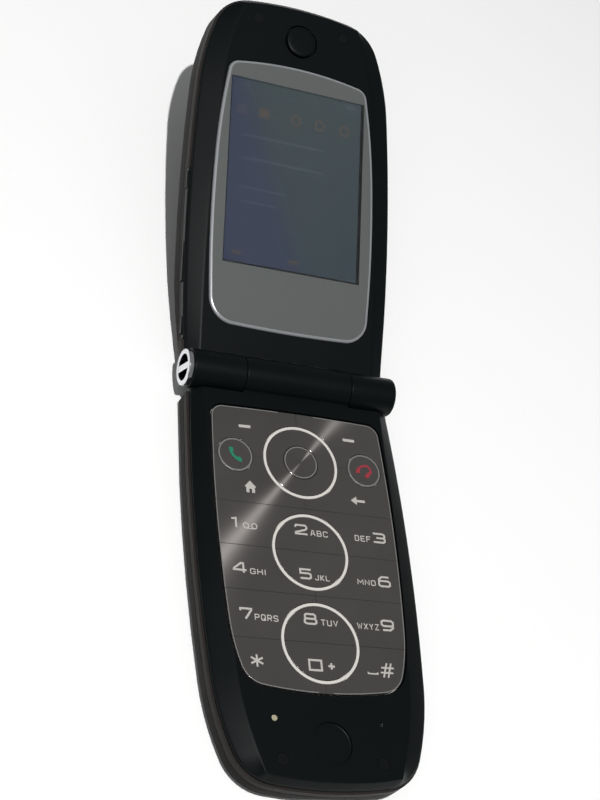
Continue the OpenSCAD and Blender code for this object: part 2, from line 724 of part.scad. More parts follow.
// Rounded rectangle of the outer window, grown by a margin
module window_outline(grow) {
  r = 3;
  square_at(outer_lcd_y, outer_window.x + grow, outer_window.y - r);
  square_at(outer_lcd_y, outer_window.x - r, outer_window.y + grow);
  for (x = [-1, 1], y = [-1, 1])
    translate([x * (outer_window.x - r), outer_lcd_y + y * (outer_window.y - r)]) circle(r = r + grow);
}

module square_at(y, hx, hy) translate([-hx, y - hy]) square([2 * hx, 2 * hy]);

module lid_trim_band() color(SILVER) in_lid() difference() {
  trim(lid_seam - snug, lid_out, lid_arch, 3, lid_band_h, lid_grow);
  along_x(barrel_r + snug, -40, 40);
  key_strip(snug, strip_h);
}

module screen_lens() color(GLASS, 0.8) in_lid() slab(lens_bot, lens_top) lens_outline(0);

module lcd_module() color("#2c3236") in_lid() {
  block(-window_w / 2 - 0.5, window_w / 2 + 0.5, window_y - 1.5, window_y + window_h + 0.7, -3.18, lens_bot - 0.1);
  block(-19.4, 19.4, 22, 76, lid_board_z + 0.8, -3.18);
}

module lid_board() color(BOARD) in_lid() difference() {
  intersection() {
    slab(lid_board_z, lid_board_z + lid_board_t) outline(wall + 1.1);
    block(-40, 40, 14.6, 91, -9, 0);
  }
  both_sides(end_screw) translate([0, 0, -9]) cylinder(r = 1, h = 9);
  translate([0, camera_y, -9]) cylinder(r = 3.4, h = 9);
}

module earpiece_disc() color(BLACK) in_lid()
  translate([0, disc_y, lid_face - 0.95]) cylinder(r = disc_r, h = 1.45);

module earpiece_speaker() color("#3a3c3e") in_lid()
  translate([0, disc_y, lid_board_z + 0.75]) cylinder(r = 4.5, h = lid_ceiling - lid_board_z - 0.8);

module lid_screws() color(STEEL) in_lid() both_sides(end_screw) {
  covered_screw(lid_out + 1.5, lid_face - 1.25, lid_face);
}

module outer_window() color("#15181a") in_lid() slab(lid_out, lid_out + 0.8) window_outline(0);

module outer_display() color("#2c3236") in_lid() slab(lid_out + 0.85, lid_board_z - snug) square_at(outer_lcd_y, 12.6, 12.6);

module camera_module() color("#202326") in_lid() translate([0, camera_y, 0]) {
  difference() {
    translate([0, 0, lid_out + 0.75]) cylinder(r = 3.2, h = lid_board_z + lid_board_t - lid_out - 0.8);
    translate([0, 0, lid_out - over]) cylinder(r1 = 2.9, r2 = 1.6, h = over + 1.35);
  }
  translate([0, 0, lid_out + 1.3]) cylinder(r = 1.6, h = 0.4);
}

module strap_ring() color("#d8dadc") in_lid() difference() {
  along_x(4.15, -barrel_half - 1.15, -barrel_half + 0.05);
  for (side = [-1, 1]) intersection() {
    along_x(3, -30, -10);
    block(-30, -10, side > 0 ? 0.75 : -4, side > 0 ? 4 : -0.75, -4, 4);
  }
}

module hinge_cartridge() color(STEEL) in_lid() {
  difference() {
    along_x(cartridge_r, mid_right + 0.3, barrel_half - 1.1);
    along_x(cartridge_r - 0.4, mid_right, barrel_half - 1.7);
  }
  // cam follower, and behind it the stack of disc springs that presses it
  difference() {
    along_x(cartridge_r - 0.45, mid_right + 0.5, mid_right + 2.5);
    along_x(1.25, mid_right, 20);
  }
  for (i = [0:7]) translate([mid_right + 2.7 + 0.75 * i, 0, 0]) difference() {
    along_x(cartridge_r - 0.6, 0, 0.55);
    along_x(1.5, -over, 2);
  }
}

module hinge_end_cap() color(BLACK) in_lid() rotate([0, 90, 0]) translate([0, 0, barrel_half + 0.1])
  rotate_extrude() polygon([[0, 0], [4.4, 0], [4.3, 0.15], [4, 0.33], [3.4, 0.45], [0, 0.5]]);

// Key in the side wall, with a flange behind the wall that keeps it in
module lid_side_key(k) color(BLACK) in_lid() {
  inner = k[2] - 2.8;
  block(-k[2], -inner + 0.1, k[0] - k[1], k[0] + k[1], side_key_z - side_key_half_h, side_key_z + side_key_half_h);
  block(-inner, -inner + 0.4, k[0] - k[1] - 0.5, k[0] + k[1] + 0.5, side_key_z - 0.35, side_key_z + 0.35);
}

module volume_rocker() lid_side_key(rocker);
module side_key_upper() lid_side_key(upper_key);
module side_key_lower() lid_side_key(lower_key);

base_top_shell();
base_trim_band();
base_rear_case();
battery_cover();
battery();
bay_connectors();
main_board();
shield_cans();
dome_sheet();
key_mat();
light_rings();
microphone();
loudspeaker();
status_light_pipe();
usb_socket();
vibration_motor();
vibration_weight();
base_screws();
hinge_sleeve();
hinge_cam_shaft();
hinge_flex();
nav_pad();
nav_ring();
nav_key();
soft_key_left();
soft_key_right();
send_key();
end_key();
home_key();
back_key();
key_1();
key_2();
key_3();
key_4();
key_5();
key_6();
key_7();
key_8();
key_9();
key_star();
key_0();
key_hash();
lid_inner_frame();
lid_outer_cover();
lid_trim_band();
screen_lens();
lcd_module();
lid_board();
earpiece_disc();
earpiece_speaker();
lid_screws();
outer_window();
outer_display();
camera_module();
strap_ring();
hinge_cartridge();
hinge_end_cap();
volume_rocker();
side_key_upper();
side_key_lower();
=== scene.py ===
"""Folding mobile phone, opened on a table. Lengths in this file are in mm and are turned to metres
when a mesh is made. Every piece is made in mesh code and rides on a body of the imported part."""

import json
import math

import bmesh
import bpy
from mathutils import Matrix, Vector

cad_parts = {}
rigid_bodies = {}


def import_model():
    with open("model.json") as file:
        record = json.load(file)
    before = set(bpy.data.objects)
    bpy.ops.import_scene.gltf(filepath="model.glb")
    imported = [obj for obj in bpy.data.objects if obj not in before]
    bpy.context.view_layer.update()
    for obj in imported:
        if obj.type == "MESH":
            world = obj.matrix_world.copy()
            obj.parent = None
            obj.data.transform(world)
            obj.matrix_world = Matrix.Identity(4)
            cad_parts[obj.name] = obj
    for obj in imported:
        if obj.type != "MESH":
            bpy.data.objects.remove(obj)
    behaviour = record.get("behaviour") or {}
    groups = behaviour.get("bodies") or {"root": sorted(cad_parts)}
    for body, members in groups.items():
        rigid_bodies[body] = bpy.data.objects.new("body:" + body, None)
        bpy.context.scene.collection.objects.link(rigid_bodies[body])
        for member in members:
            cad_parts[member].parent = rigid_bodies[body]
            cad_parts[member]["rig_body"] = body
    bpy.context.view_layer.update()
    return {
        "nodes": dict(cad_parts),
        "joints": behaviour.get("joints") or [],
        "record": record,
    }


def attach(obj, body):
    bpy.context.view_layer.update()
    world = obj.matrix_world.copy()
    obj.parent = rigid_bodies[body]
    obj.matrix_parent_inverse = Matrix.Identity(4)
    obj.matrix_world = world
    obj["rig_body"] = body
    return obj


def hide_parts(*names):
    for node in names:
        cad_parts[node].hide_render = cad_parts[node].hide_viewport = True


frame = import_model()

MM = 0.001
NODES = frame["nodes"]
SLOT_OF = {part["node"]: part["material_slot"] for part in frame["record"]["subparts"]}
HINGE = Vector(next(j for j in frame["joints"] if j["name"] == "lid_hinge")["pos_m"]) / MM
LID_RISE = math.radians(18.4)

# Heights over the hinge axis. The lid's are in its own tilted frame.
FACE = 1.15
BASE_EDGE = -0.75    # outer edge of the keypad half's side facet
BASE_SEAM = -1.65
KEY_TOP = 1.05
KEY_BOTTOM = 0.25
LID_FACE = -1.45
LID_EDGE = -2.85
LID_SEAM = -3.75
LID_CEILING = -3.1   # underside of the inner frame's plate
BASE_STEP = 0.5      # inset of the keypad half's black side wall from the outline that both halves share
LID_STEP = 0.25      # the same in the lid
LID_GROW = 0.25      # how far the lid's side band stands out from that outline
LENS_TOP = -1.30
LENS_BOTTOM = -2.30
OVER, UNDER = 3.0, -9.0   # a cutter that goes right through reaches this far over and under a half

HALF_LENGTH = 94.5
BARREL_R = 4.5
BARREL_LEFT, BARREL_RIGHT = -24.7, 24.9
MIDDLE_KNUCKLE = (-12.14, 13.64)
KNUCKLE_GAP = 0.12
CAVITY_NEAR = 6.6    # distance of each half's cavity from the hinge
NAV = 21.05          # distance of the navigation ring's centre from the hinge
RING_PLACES = (NAV, 42.75, 63.5)
RING_R = 8.6
RING_W = 0.65
WINDOW = (17.45, 26.6, 72.5)   # half width, near edge and far edge of the display window
EAR = 85.0           # distance of the earpiece disc, and of its recess, from the hinge
SCREW_COVERS = ((11.2, 88.7), (-11.2, 88.7))
SCREW_COVER_R = 1.37


# ------------------------------------------------------------------ places

def on_keypad(x, s, z):
    """A point of the keypad half: x to the right, s from the hinge to the free end, z over the axis."""
    return Vector((x, HINGE.y - s, HINGE.z + z))


def on_lid(x, s, z):
    """A point of the raised lid, s along the lid from the hinge and z square to it."""
    c, t = math.cos(LID_RISE), math.sin(LID_RISE)
    return Vector((x, HINGE.y + s * c - z * t, HINGE.z + s * t + z * c))


# --------------------------------------------------------------- materials

def linear(code):
    """A colour written as sRGB hex, as the linear values that Blender works in."""
    parts = [int(code[i:i + 2], 16) / 255 for i in (1, 3, 5)]
    return tuple(p / 12.92 if p <= 0.04045 else ((p + 0.055) / 1.055) ** 2.4 for p in parts) + (1.0,)


def add(tree, kind, settings, inputs):
    """Adds one shader node. settings are its own values; inputs are numbers, colours or sockets to link."""
    made = tree.nodes.new("ShaderNode" + kind)
    for key, value in settings.items():
        setattr(made, key, value)
    for key, value in inputs.items():
        if isinstance(value, bpy.types.NodeSocket):
            tree.links.new(value, made.inputs[key])
        else:
            made.inputs[key].default_value = value
    return made


def blank(name):
    """A material with only its output left, and its tree."""
    material = bpy.data.materials.new(name)
    material.use_nodes = True
    tree = material.node_tree
    tree.nodes.clear()
    return material, tree


def in_mm(tree):
    """The piece's own place in millimetres, which goes with it when it moves."""
    place = add(tree, "TexCoord", {}, {})
    return add(tree, "VectorMath", {"operation": "SCALE"},
               {0: place.outputs["Object"], "Scale": 1 / MM}).outputs[0]


def finished(material, sockets):
    """A material with its shader and output added."""
    tree = material.node_tree
    shader = add(tree, "BsdfPrincipled", {}, sockets)
    add(tree, "OutputMaterial", {}, {"Surface": shader.outputs[0]})
    return material


def grained(name, dark, light, rough, grain, patch, bump, sockets):
    """A finish with two near colours in soft patches, and a fine grain in roughness and relief.
    grain and patch are sizes in mm; rough is (low, high); bump is the relief in mm."""
    material, tree = blank(name)
    place = in_mm(tree)
    patches = add(tree, "TexNoise", {}, {"Vector": place, "Scale": 1 / patch, "Detail": 3.0})
    fine = add(tree, "TexNoise", {}, {"Vector": place, "Scale": 1 / grain, "Detail": 2.0})
    colour = add(tree, "Mix", {"data_type": "RGBA"},
                 {0: patches.outputs["Fac"], 6: linear(dark), 7: linear(light)})
    roughness = add(tree, "MapRange", {},
                    {0: fine.outputs["Fac"], 1: 0.3, 2: 0.7, 3: rough[0], 4: rough[1]})
    relief = add(tree, "Bump", {},
                 {"Height": fine.outputs["Fac"], "Strength": 1.0, "Distance": bump * MM})
    return finished(material, {
        "Base Color": colour.outputs[2], "Roughness": roughness.outputs[0],
        "Normal": relief.outputs[0], **sockets})


# Soft-touch lacquer sprayed on moulded ABS: near black, no mirror image, a fine even tooth that
# spreads highlights. The tooth is 0.03 mm in reality and is drawn at 0.2 mm so that it shows.
soft_touch = grained("black soft-touch lacquer on ABS", "#070b0c", "#0b0f10", (0.33, 0.40), 0.2, 9.0,
                     0.003, {"Specular IOR Level": 0.11})


def flaked_paint(name, dark, light, flake_colour, rough):
    """Metallic paint on moulded ABS: dark warm grey with small lighter flakes and a low, soft sheen."""
    flake, cloud = 0.12, 12.0   # mm; flakes are 0.03 mm in reality and are drawn larger so that they show
    material, tree = blank(name)
    place = in_mm(tree)
    flakes = add(tree, "TexVoronoi", {"feature": "F1"}, {"Vector": place, "Scale": 1 / flake})
    chosen = add(tree, "MapRange", {},
                 {0: flakes.outputs["Color"], 1: 0.62, 2: 0.95, 3: 0.0, 4: 0.55})
    patches = add(tree, "TexNoise", {}, {"Vector": place, "Scale": 1 / cloud, "Detail": 2.0})
    ground = add(tree, "Mix", {"data_type": "RGBA"},
                 {0: patches.outputs["Fac"], 6: linear(dark), 7: linear(light)})
    colour = add(tree, "Mix", {"data_type": "RGBA"},
                 {0: chosen.outputs[0], 6: ground.outputs[2], 7: linear(flake_colour)})
    tilt = add(tree, "Bump", {},
               {"Height": flakes.outputs["Distance"], "Strength": 0.35, "Distance": 0.01 * MM})
    return finished(material, {
        "Base Color": colour.outputs[2], "Metallic": 0.05, "Roughness": rough,
        "Normal": tilt.outputs[0], "Specular IOR Level": 0.04})


warm_grey_paint = flaked_paint("warm grey metallic paint on ABS", "#171514", "#1b1817", "#2b2724", 0.5)
silver_paint = flaked_paint("satin silver paint on ABS", "#292625", "#2d2a29", "#3e3a37", 0.44)


def spun_metal(name, dark, light):
    """Aluminium sheet faced off on a lathe about the navigation ring, then dark anodised: hair-fine
    rings round that centre, so a lamp draws one bright ray through it."""
    mark, cloud = 0.2, 14.0   # mm; tool marks are 0.05 mm apart in reality and are drawn wider apart
    material, tree = blank(name)
    place = in_mm(tree)
    from_centre = add(tree, "VectorMath", {"operation": "SUBTRACT"},
                      {0: place, 1: (0.0, HINGE.y - NAV, 0.0)})
    flat = add(tree, "VectorMath", {"operation": "MULTIPLY"},
               {0: from_centre.outputs[0], 1: (1.0, 1.0, 0.0)})
    radius = add(tree, "VectorMath", {"operation": "LENGTH"}, {0: flat.outputs[0]})
    outward = add(tree, "VectorMath", {"operation": "NORMALIZE"}, {0: flat.outputs[0]})
    marks = add(tree, "TexNoise", {"noise_dimensions": "1D"},
                {"W": radius.outputs["Value"], "Scale": 1 / mark, "Detail": 3.0, "Roughness": 0.6})
    patches = add(tree, "TexNoise", {}, {"Vector": place, "Scale": 1 / cloud, "Detail": 2.0})
    tone = add(tree, "Math", {"operation": "MULTIPLY_ADD"},
               {0: marks.outputs["Fac"], 1: 0.6, 2: patches.outputs["Fac"]})
    shade = add(tree, "MapRange", {}, {0: tone.outputs[0], 1: 0.45, 2: 1.15, 3: 0.0, 4: 1.0})
    colour = add(tree, "Mix", {"data_type": "RGBA"},
                 {0: shade.outputs[0], 6: linear(dark), 7: linear(light)})
    relief = add(tree, "Bump", {},
                 {"Height": marks.outputs["Fac"], "Strength": 0.5, "Distance": 0.001 * MM})
    return finished(material, {
        "Base Color": colour.outputs[2], "Metallic": 0.8, "Roughness": 0.212,
        "Anisotropic": 1.0, "Tangent": outward.outputs[0], "Normal": relief.outputs[0]})


key_metal = spun_metal("spun dark anodised aluminium", "#6e6a68", "#797572")


def plain(name, colour, sockets, grain=0.3, bump=0.002, depth=0.07):
    """A nearly even finish: one colour whose value wavers by a share of depth, and a slight tooth.
    grain and bump are its size and its relief in mm, both drawn larger than real so that they show."""
    material, tree = blank(name)
    place = in_mm(tree)
    mottle = add(tree, "TexNoise", {}, {"Vector": place, "Scale": 1 / grain, "Detail": 2.0})
    value = add(tree, "MapRange", {},
                {0: mottle.outputs["Fac"], 1: 0.2, 2: 0.8, 3: 1 - depth, 4: 1 + depth})
    tinted = add(tree, "HueSaturation", {}, {"Color": linear(colour), "Value": value.outputs[0]})
    relief = add(tree, "Bump", {},
                 {"Height": mottle.outputs["Fac"], "Strength": 1.0, "Distance": bump * MM})
    return finished(material, {
        "Base Color": tinted.outputs[0], "Normal": relief.outputs[0], **sockets})


# Milky acrylic light guide, unlit: an even soft white
light_guide = plain("milky moulded acrylic", "#cfcbc5", {"Roughness": 0.35})
# The same acrylic in the key signs, painted a little greyer as shade for the small openings that it is seen
# through
sign_guide_painted_shade = plain("milky acrylic in the signs, painted shade", "#b4b0ab", {"Roughness": 0.4})
# Tinted acrylic, unlit and soft: pale amber of the charging light, green and red of the call keys
amber_guide = plain("amber moulded acrylic", "#a39c83", {"Roughness": 0.35})
green_guide = plain("green moulded acrylic", "#1f7a5c", {"Roughness": 0.35})
red_guide = plain("red moulded acrylic", "#94303a", {"Roughness": 0.35})
# Diamond-cut rim left bright when the anodised sheet is trimmed
cut_rim = plain("bright cut aluminium edge", "#7d7b79", {"Metallic": 0.2, "Roughness": 0.42})
# Grey ink printed behind the clear lens: an even grey under a hard gloss
grey_print = plain("grey print behind acrylic", "#555856",
                   {"Roughness": 0.5, "Specular IOR Level": 0.2, "Coat Weight": 0.5,
                    "Coat Roughness": 0.12}, 0.25, 0.0)
# Cut and polished edge of the acrylic lens. Its light grey is a painted highlight for the light that its
# bevel catches all round; the gloss is its own
lens_edge_painted_highlight = plain("acrylic edge with painted highlight", "#8e9093", {"Metallic": 0.2, "Roughness": 0.25}, 0.5, 0.0)
# Chrome plated over polished plastic: nearly a mirror
polished_chrome = plain("polished chrome plate", "#dcdde0", {"Metallic": 1.0, "Roughness": 0.12},
                        0.6, 0.001)
# Acrylic backed with black ink: deep black under a hard, sharp gloss
black_acrylic = plain("black backed acrylic window", "#0c0e10",
                      {"Roughness": 0.08, "Coat Weight": 0.6, "Coat Roughness": 0.05}, 2.0, 0.0)
# Front glass of the display module: dark, smooth and a little blurred by its filters
display_glass = plain("dark display glass", "#171c20", {"Roughness": 0.2}, 1.0, 0.0)

# The grains below are 0.02 to 0.1 mm in reality and are drawn coarser, so that they show.
# Glass-filled nylon: black, with a spark-eroded tooth that leaves no clear reflection
moulded_black = grained("black moulded nylon", "#080b0c", "#0c0f10", (0.4, 0.5), 0.25, 6.0, 0.006,
                        {"Specular IOR Level": 0.11})
# Felted cloth: black with no shine, and a faint halo of fibres
speaker_felt = grained("felted speaker cloth", "#0e0e0f", "#19191a", (0.8, 0.95), 0.15, 1.2, 0.03,
                       {"Sheen Weight": 0.2, "Sheen Roughness": 0.5})
# Silicone rubber: milky and soft, with light that sinks in a little
silicone = grained("milky silicone rubber", "#cfccc2", "#dbd8ce", (0.42, 0.55), 0.3, 5.0, 0.004,
                   {"Subsurface Weight": 0.2, "Subsurface Radius": (0.0008, 0.0007, 0.0006),
                    "Subsurface Scale": 1.0})
# Tin-plated sheet: bright grey with a blurred reflection
plated_steel = grained("tin-plated sheet steel", "#b3b4b4", "#c3c4c5", (0.28, 0.42), 0.35, 4.0, 0.003,
                       {"Metallic": 1.0})
# Ground steel: darker than tin, with a somewhat sharper reflection
ground_steel = grained("ground hinge steel", "#96989a", "#a9abad", (0.22, 0.36), 0.25, 3.0, 0.003,
                       {"Metallic": 1.0})
# Sintered tungsten: dull, dark and grainy
sintered_weight = grained("sintered tungsten", "#6f6f70", "#838385", (0.5, 0.68), 0.12, 1.0, 0.012,
                          {"Metallic": 1.0})
# Polyimide film: amber brown with a thin gloss
flex_film = grained("orange polyimide film", "#8a4a12", "#a85e1c", (0.25, 0.4), 0.5, 2.5, 0.002,
                    {"Coat Weight": 0.3})
# Printed shrink film: dark grey with a slight gloss
battery_wrap = grained("dark printed battery wrap", "#24262a", "#2d3034", (0.35, 0.5), 0.6, 10.0,
                       0.004, {"Coat Weight": 0.2})


def board_finish():
    """Green solder resist over copper: dark resist, with lighter tracks that run in both directions."""
    row, length, track = 0.62, 7.3, 0.045   # mm
    material, tree = blank("green solder resist")
    place = in_mm(tree)
    tracks = []
    for turned_by in (0.0, math.pi / 2):
        run = add(tree, "VectorRotate", {"rotation_type": "Z_AXIS"},
                  {"Vector": place, "Angle": turned_by})
        cells = add(tree, "TexBrick", {"offset": 0.37, "squash": 1.0},
                    {"Vector": run.outputs[0], "Scale": 1.0, "Mortar Size": track,
                     "Brick Width": length, "Row Height": row})
        tracks.append(cells.outputs["Fac"])
    either = add(tree, "Math", {"operation": "MAXIMUM"}, {0: tracks[0], 1: tracks[1]})
    colour = add(tree, "Mix", {"data_type": "RGBA"},
                 {0: either.outputs[0], 6: linear("#0f4a2c"), 7: linear("#2a7a4b")})
    relief = add(tree, "Bump", {},
                 {"Height": either.outputs[0], "Strength": 1.0, "Distance": 0.02 * MM})
    return finished(material, {
        "Base Color": colour.outputs[2], "Roughness": 0.3, "Normal": relief.outputs[0],
        "Coat Weight": 0.3})


solder_resist = board_finish()


def clear_acrylic():
    """Hard-coated clear acrylic over the display: it passes the picture and adds a soft reflection."""
    haze_size = 6.0   # mm
    material, tree = blank("clear hard-coated acrylic")
    place = in_mm(tree)
    haze = add(tree, "TexNoise", {}, {"Vector": place, "Scale": 1 / haze_size, "Detail": 2.0})
    rough = add(tree, "MapRange", {}, {0: haze.outputs["Fac"], 1: 0.3, 2: 0.7, 3: 0.03, 4: 0.07})
    return finished(material, {
        "Base Color": (1.0, 1.0, 1.0, 1.0), "Roughness": rough.outputs[0], "IOR": 1.49,
        "Transmission Weight": 1.0})


clear_pane = clear_acrylic()


def backlit(name, near_colour, far_colour, left_colour):
    """Liquid crystal picture: a dim glow whose colour shifts along and across the screen."""
    near, far, cloud = 27.0, 75.0, 9.0   # mm; near and far are places along y
    left, blend_to = 6.0, 17.0           # mm; the left colour fades out between them
    material, tree = blank(name)
    place = in_mm(tree)
    split = add(tree, "SeparateXYZ", {}, {0: place})
    share = add(tree, "MapRange", {},
                {0: split.outputs["Y"], 1: near, 2: far, 3: 0.0, 4: 0.8})
    clouds = add(tree, "TexNoise", {}, {"Vector": place, "Scale": 1 / cloud, "Detail": 2.0})
    mixed = add(tree, "Math", {"operation": "MULTIPLY_ADD"},
                {0: clouds.outputs["Fac"], 1: 0.35, 2: share.outputs[0]})
    lengthwise = add(tree, "Mix", {"data_type": "RGBA"},
                     {0: mixed.outputs[0], 6: linear(near_colour), 7: linear(far_colour)})
    slant = add(tree, "Math", {"operation": "MULTIPLY_ADD"},
                {0: split.outputs["Y"], 1: 0.35, 2: split.outputs["X"]})
    edge = add(tree, "MapRange", {"interpolation_type": "SMOOTHSTEP"},
               {0: slant.outputs[0], 1: left, 2: blend_to, 3: 0.8, 4: 0.0})
    colour = add(tree, "Mix", {"data_type": "RGBA"},
                 {0: edge.outputs[0], 6: lengthwise.outputs[2], 7: linear(left_colour)})
    return finished(material, {
        "Base Color": linear("#0a0c0e"), "Roughness": 0.4, "Emission Color": colour.outputs[2],
        "Emission Strength": 1.0})


picture_ground = backlit("idle picture ground", "#27363f", "#333f42", "#262f4a")
picture_line = backlit("idle picture lines", "#36444c", "#414c53", "#343f55")
picture_icon = backlit("idle picture icons", "#44403a", "#4a4540", "#443c38")
picture_mark = backlit("idle picture first icon", "#3a3a4c", "#3f3f4e", "#3a3a4c")

FINISH_OF_SLOT = {
    "soft_black": soft_touch, "gunmetal": warm_grey_paint, "silver_trim": silver_paint,
    "key_metal": key_metal, "light_guide": light_guide, "silicone": silicone,
    "circuit_board": solder_resist, "sheet_steel": plated_steel, "hinge_steel": ground_steel,
    "tungsten": sintered_weight, "flex_film": flex_film, "battery_wrap": battery_wrap,
    "speaker_black": speaker_felt, "screw_black": moulded_black, "lens": grey_print,
    "lcd_black": display_glass, "window_black": black_acrylic, "polished_chrome": polished_chrome,
}
for node_name, node_object in NODES.items():
    finish = FINISH_OF_SLOT[SLOT_OF[node_name]]
    node_object.data.materials.clear()
    node_object.data.materials.append(amber_guide if node_name == "status_light_pipe" else finish)


# ------------------------------------------------------------- mesh helpers

def placed(name, place, shape):
    """An object from a shape in mm, which is a pair of points and faces."""
    verts, faces = shape
    mesh = bpy.data.meshes.new(name)
    mesh.from_pydata([tuple(place(*v) * MM) for v in verts], [], faces)
    piece = bpy.data.objects.new(name, mesh)
    bpy.context.scene.collection.objects.link(piece)
    return piece


def settle(piece, material, body, stands_for, ease, sharp, rounds=2):
    """Welds a piece, turns its faces outwards, shades it, and puts it on its body. ease rounds its
    corners by that many mm; edges that turn by more than sharp degrees stay crisp."""
    work = bmesh.new()
    work.from_mesh(piece.data)
    bmesh.ops.remove_doubles(work, verts=work.verts, dist=0.0005 * MM)
    bmesh.ops.recalc_face_normals(work, faces=work.faces)
    for face in work.faces:
        face.smooth = True
    for edge in work.edges:
        edge.smooth = len(edge.link_faces) != 2 or edge.calc_face_angle(3.0) < math.radians(sharp)
    work.to_mesh(piece.data)
    work.free()
    piece.data.materials.clear()
    piece.data.materials.append(material)
    if ease:
        rounding = piece.modifiers.new("eased corners", "BEVEL")
        rounding.width = ease * MM
        rounding.segments = rounds
        rounding.limit_method = "ANGLE"
        rounding.angle_limit = math.radians(sharp)
        rounding.harden_normals = True
        rounding.use_clamp_overlap = True
    weights = piece.modifiers.new("flat faces stay flat", "WEIGHTED_NORMAL")
    weights.keep_sharp = True
    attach(piece, body)
    if stands_for:
        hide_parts(*stands_for)


def make(name, place, shape, material, body, stands_for=(), ease=0.0, sharp=45):
    """A settled piece from a shape in mm."""
    settle(placed(name, place, shape), material, body, stands_for, ease, sharp)


def turned(profile, steps=96):
    """Surface of revolution about z of a closed outline of (radius, height) points."""
    ways = [(math.cos(2 * math.pi * i / steps), math.sin(2 * math.pi * i / steps)) for i in range(steps)]
    verts, faces, rings = [], [], []
    for r, h in profile:
        if r < 1e-6:
            rings.append([len(verts)])
            verts.append((0.0, 0.0, h))
            continue
        rings.append(list(range(len(verts), len(verts) + steps)))
        verts += [(r * c, r * s, h) for c, s in ways]
    for a, b in zip(rings, rings[1:] + rings[:1]):
        if len(a) == 1 and len(b) == 1:
            continue
        for i in range(steps):
            j = (i + 1) % steps
            if len(a) == 1:
                faces.append((a[0], b[j], b[i]))
            elif len(b) == 1:
                faces.append((a[i], a[j], b[0]))
            else:
                faces.append((a[i], a[j], b[j], b[i]))
    return verts, faces


def rounded(corners, steps=4):
    """Closed 2D outline whose corners are rounded. Each corner is (x, y, radius)."""
    out = []
    n = len(corners)
    for i, (x, y, r) in enumerate(corners):
        here = Vector((x, y))
        if r <= 0:
            out.append((x, y))
            continue
        back = (Vector(corners[i - 1][:2]) - here).normalized()
        on = (Vector(corners[(i + 1) % n][:2]) - here).normalized()
        half = back.angle(on) / 2
        reach = min(r / math.tan(half), 0.49 * (Vector(corners[i - 1][:2]) - here).length,
                    0.49 * (Vector(corners[(i + 1) % n][:2]) - here).length)
        start, end = here + back * reach, here + on * reach
        for k in range(steps + 1):
            t = k / steps
            point = start * (1 - t) ** 2 + here * 2 * t * (1 - t) + end * t ** 2
            out.append((point.x, point.y))
    return out


def prism(loop, low, high):
    """Solid between two heights over a closed 2D outline."""
    n = len(loop)
    verts = [(x, y, low) for x, y in loop] + [(x, y, high) for x, y in loop]
    faces = [tuple(range(n - 1, -1, -1)), tuple(range(n, 2 * n))]
    faces += [(i, (i + 1) % n, n + (i + 1) % n, n + i) for i in range(n)]
    return verts, faces


def joined(*parts):
    """Several (verts, faces) as one."""
    verts, faces = [], []
    for part_verts, part_faces in parts:
        start = len(verts)
        verts += part_verts
        faces += [tuple(start + i for i in face) for face in part_faces]
    return verts, faces


def moved(shape, x, y):
    verts, faces = shape
    return [(a + x, b + y, c) for a, b, c in verts], faces


def along_x(shape):
    """Lays a shape turned about z along the x axis."""
    verts, faces = shape
    return [(c, a, b) for a, b, c in verts], faces


def ribbon(points, weight, low, high):
    """A stroke of even weight along 2D points, with mitred turns, closed if it ends where it starts.
    An open end reaches a quarter of the weight further."""
    closed = math.dist(points[0], points[-1]) < 1e-6
    if closed:
        points = points[:-1]
    n = len(points)
    sides = []
    for i, p in enumerate(points):
        p = Vector(p)
        before = (p - Vector(points[i - 1])).normalized() if closed or i else None
        after = (Vector(points[(i + 1) % n]) - p).normalized() if closed or i < n - 1 else None
        stretch = 1.0
        if before is None:
            way, middle = after, p - after * weight * 0.25
        elif after is None:
            way, middle = before, p + before * weight * 0.25
        else:
            way, middle = (before + after).normalized(), p
            stretch = min(1 / max(way.dot(after), 0.35), 1.6)
        half = Vector((-way.y, way.x)) * weight / 2 * stretch
        sides.append((middle + half, middle - half))
    verts = []
    for left, right in sides:
        verts += [(left.x, left.y, low), (right.x, right.y, low)]
        verts += [(right.x, right.y, high), (left.x, left.y, high)]
    faces = []
    for i in range(n if closed else n - 1):
        a, b = 4 * i, 4 * ((i + 1) % n)
        faces += [(a + k, a + (k + 1) % 4, b + (k + 1) % 4, b + k) for k in range(4)]
    if not closed:
        faces += [(0, 1, 2, 3), tuple(4 * (n - 1) + k for k in (3, 2, 1, 0))]
    return verts, faces


def box(x0, x1, y0, y1, z0, z1):
    return prism([(x0, y0), (x1, y0), (x1, y1), (x0, y1)], z0, z1)


def panel(x0, x1, y0, y1, r):
    """Outline of a rectangle with rounded corners."""
    return rounded([(x0, y0, r), (x1, y0, r), (x1, y1, r), (x0, y1, r)])


def hoop(x, y, r_in, r_out, low, high, steps):
    """Upright ring with a square section."""
    return moved(turned([(r_in, low), (r_out, low), (r_out, high), (r_in, high)], steps), x, y)


def raw(name, place, shape):
    """A solid whose faces are turned outwards, so that it can be cut or can cut."""
    piece = placed(name, place, shape)
    work = bmesh.new()
    work.from_mesh(piece.data)
    bmesh.ops.recalc_face_normals(work, faces=work.faces)
    work.to_mesh(piece.data)
    work.free()
    return piece


def cut(piece, place, *shapes):
    """Takes solids, given in mm, out of a piece before it is settled."""
    cutters = [raw("cutter", place, shape) for shape in shapes]
    for cutter in cutters:
        step = piece.modifiers.new("cut", "BOOLEAN")
        step.operation = "DIFFERENCE"
        step.solver = "EXACT"
        step.object = cutter
    bpy.context.view_layer.update()
    seen = piece.evaluated_get(bpy.context.evaluated_depsgraph_get())
    result = bpy.data.meshes.new_from_object(seen)
    piece.modifiers.clear()
    piece.data = result
    for cutter in cutters:
        bpy.data.objects.remove(cutter)


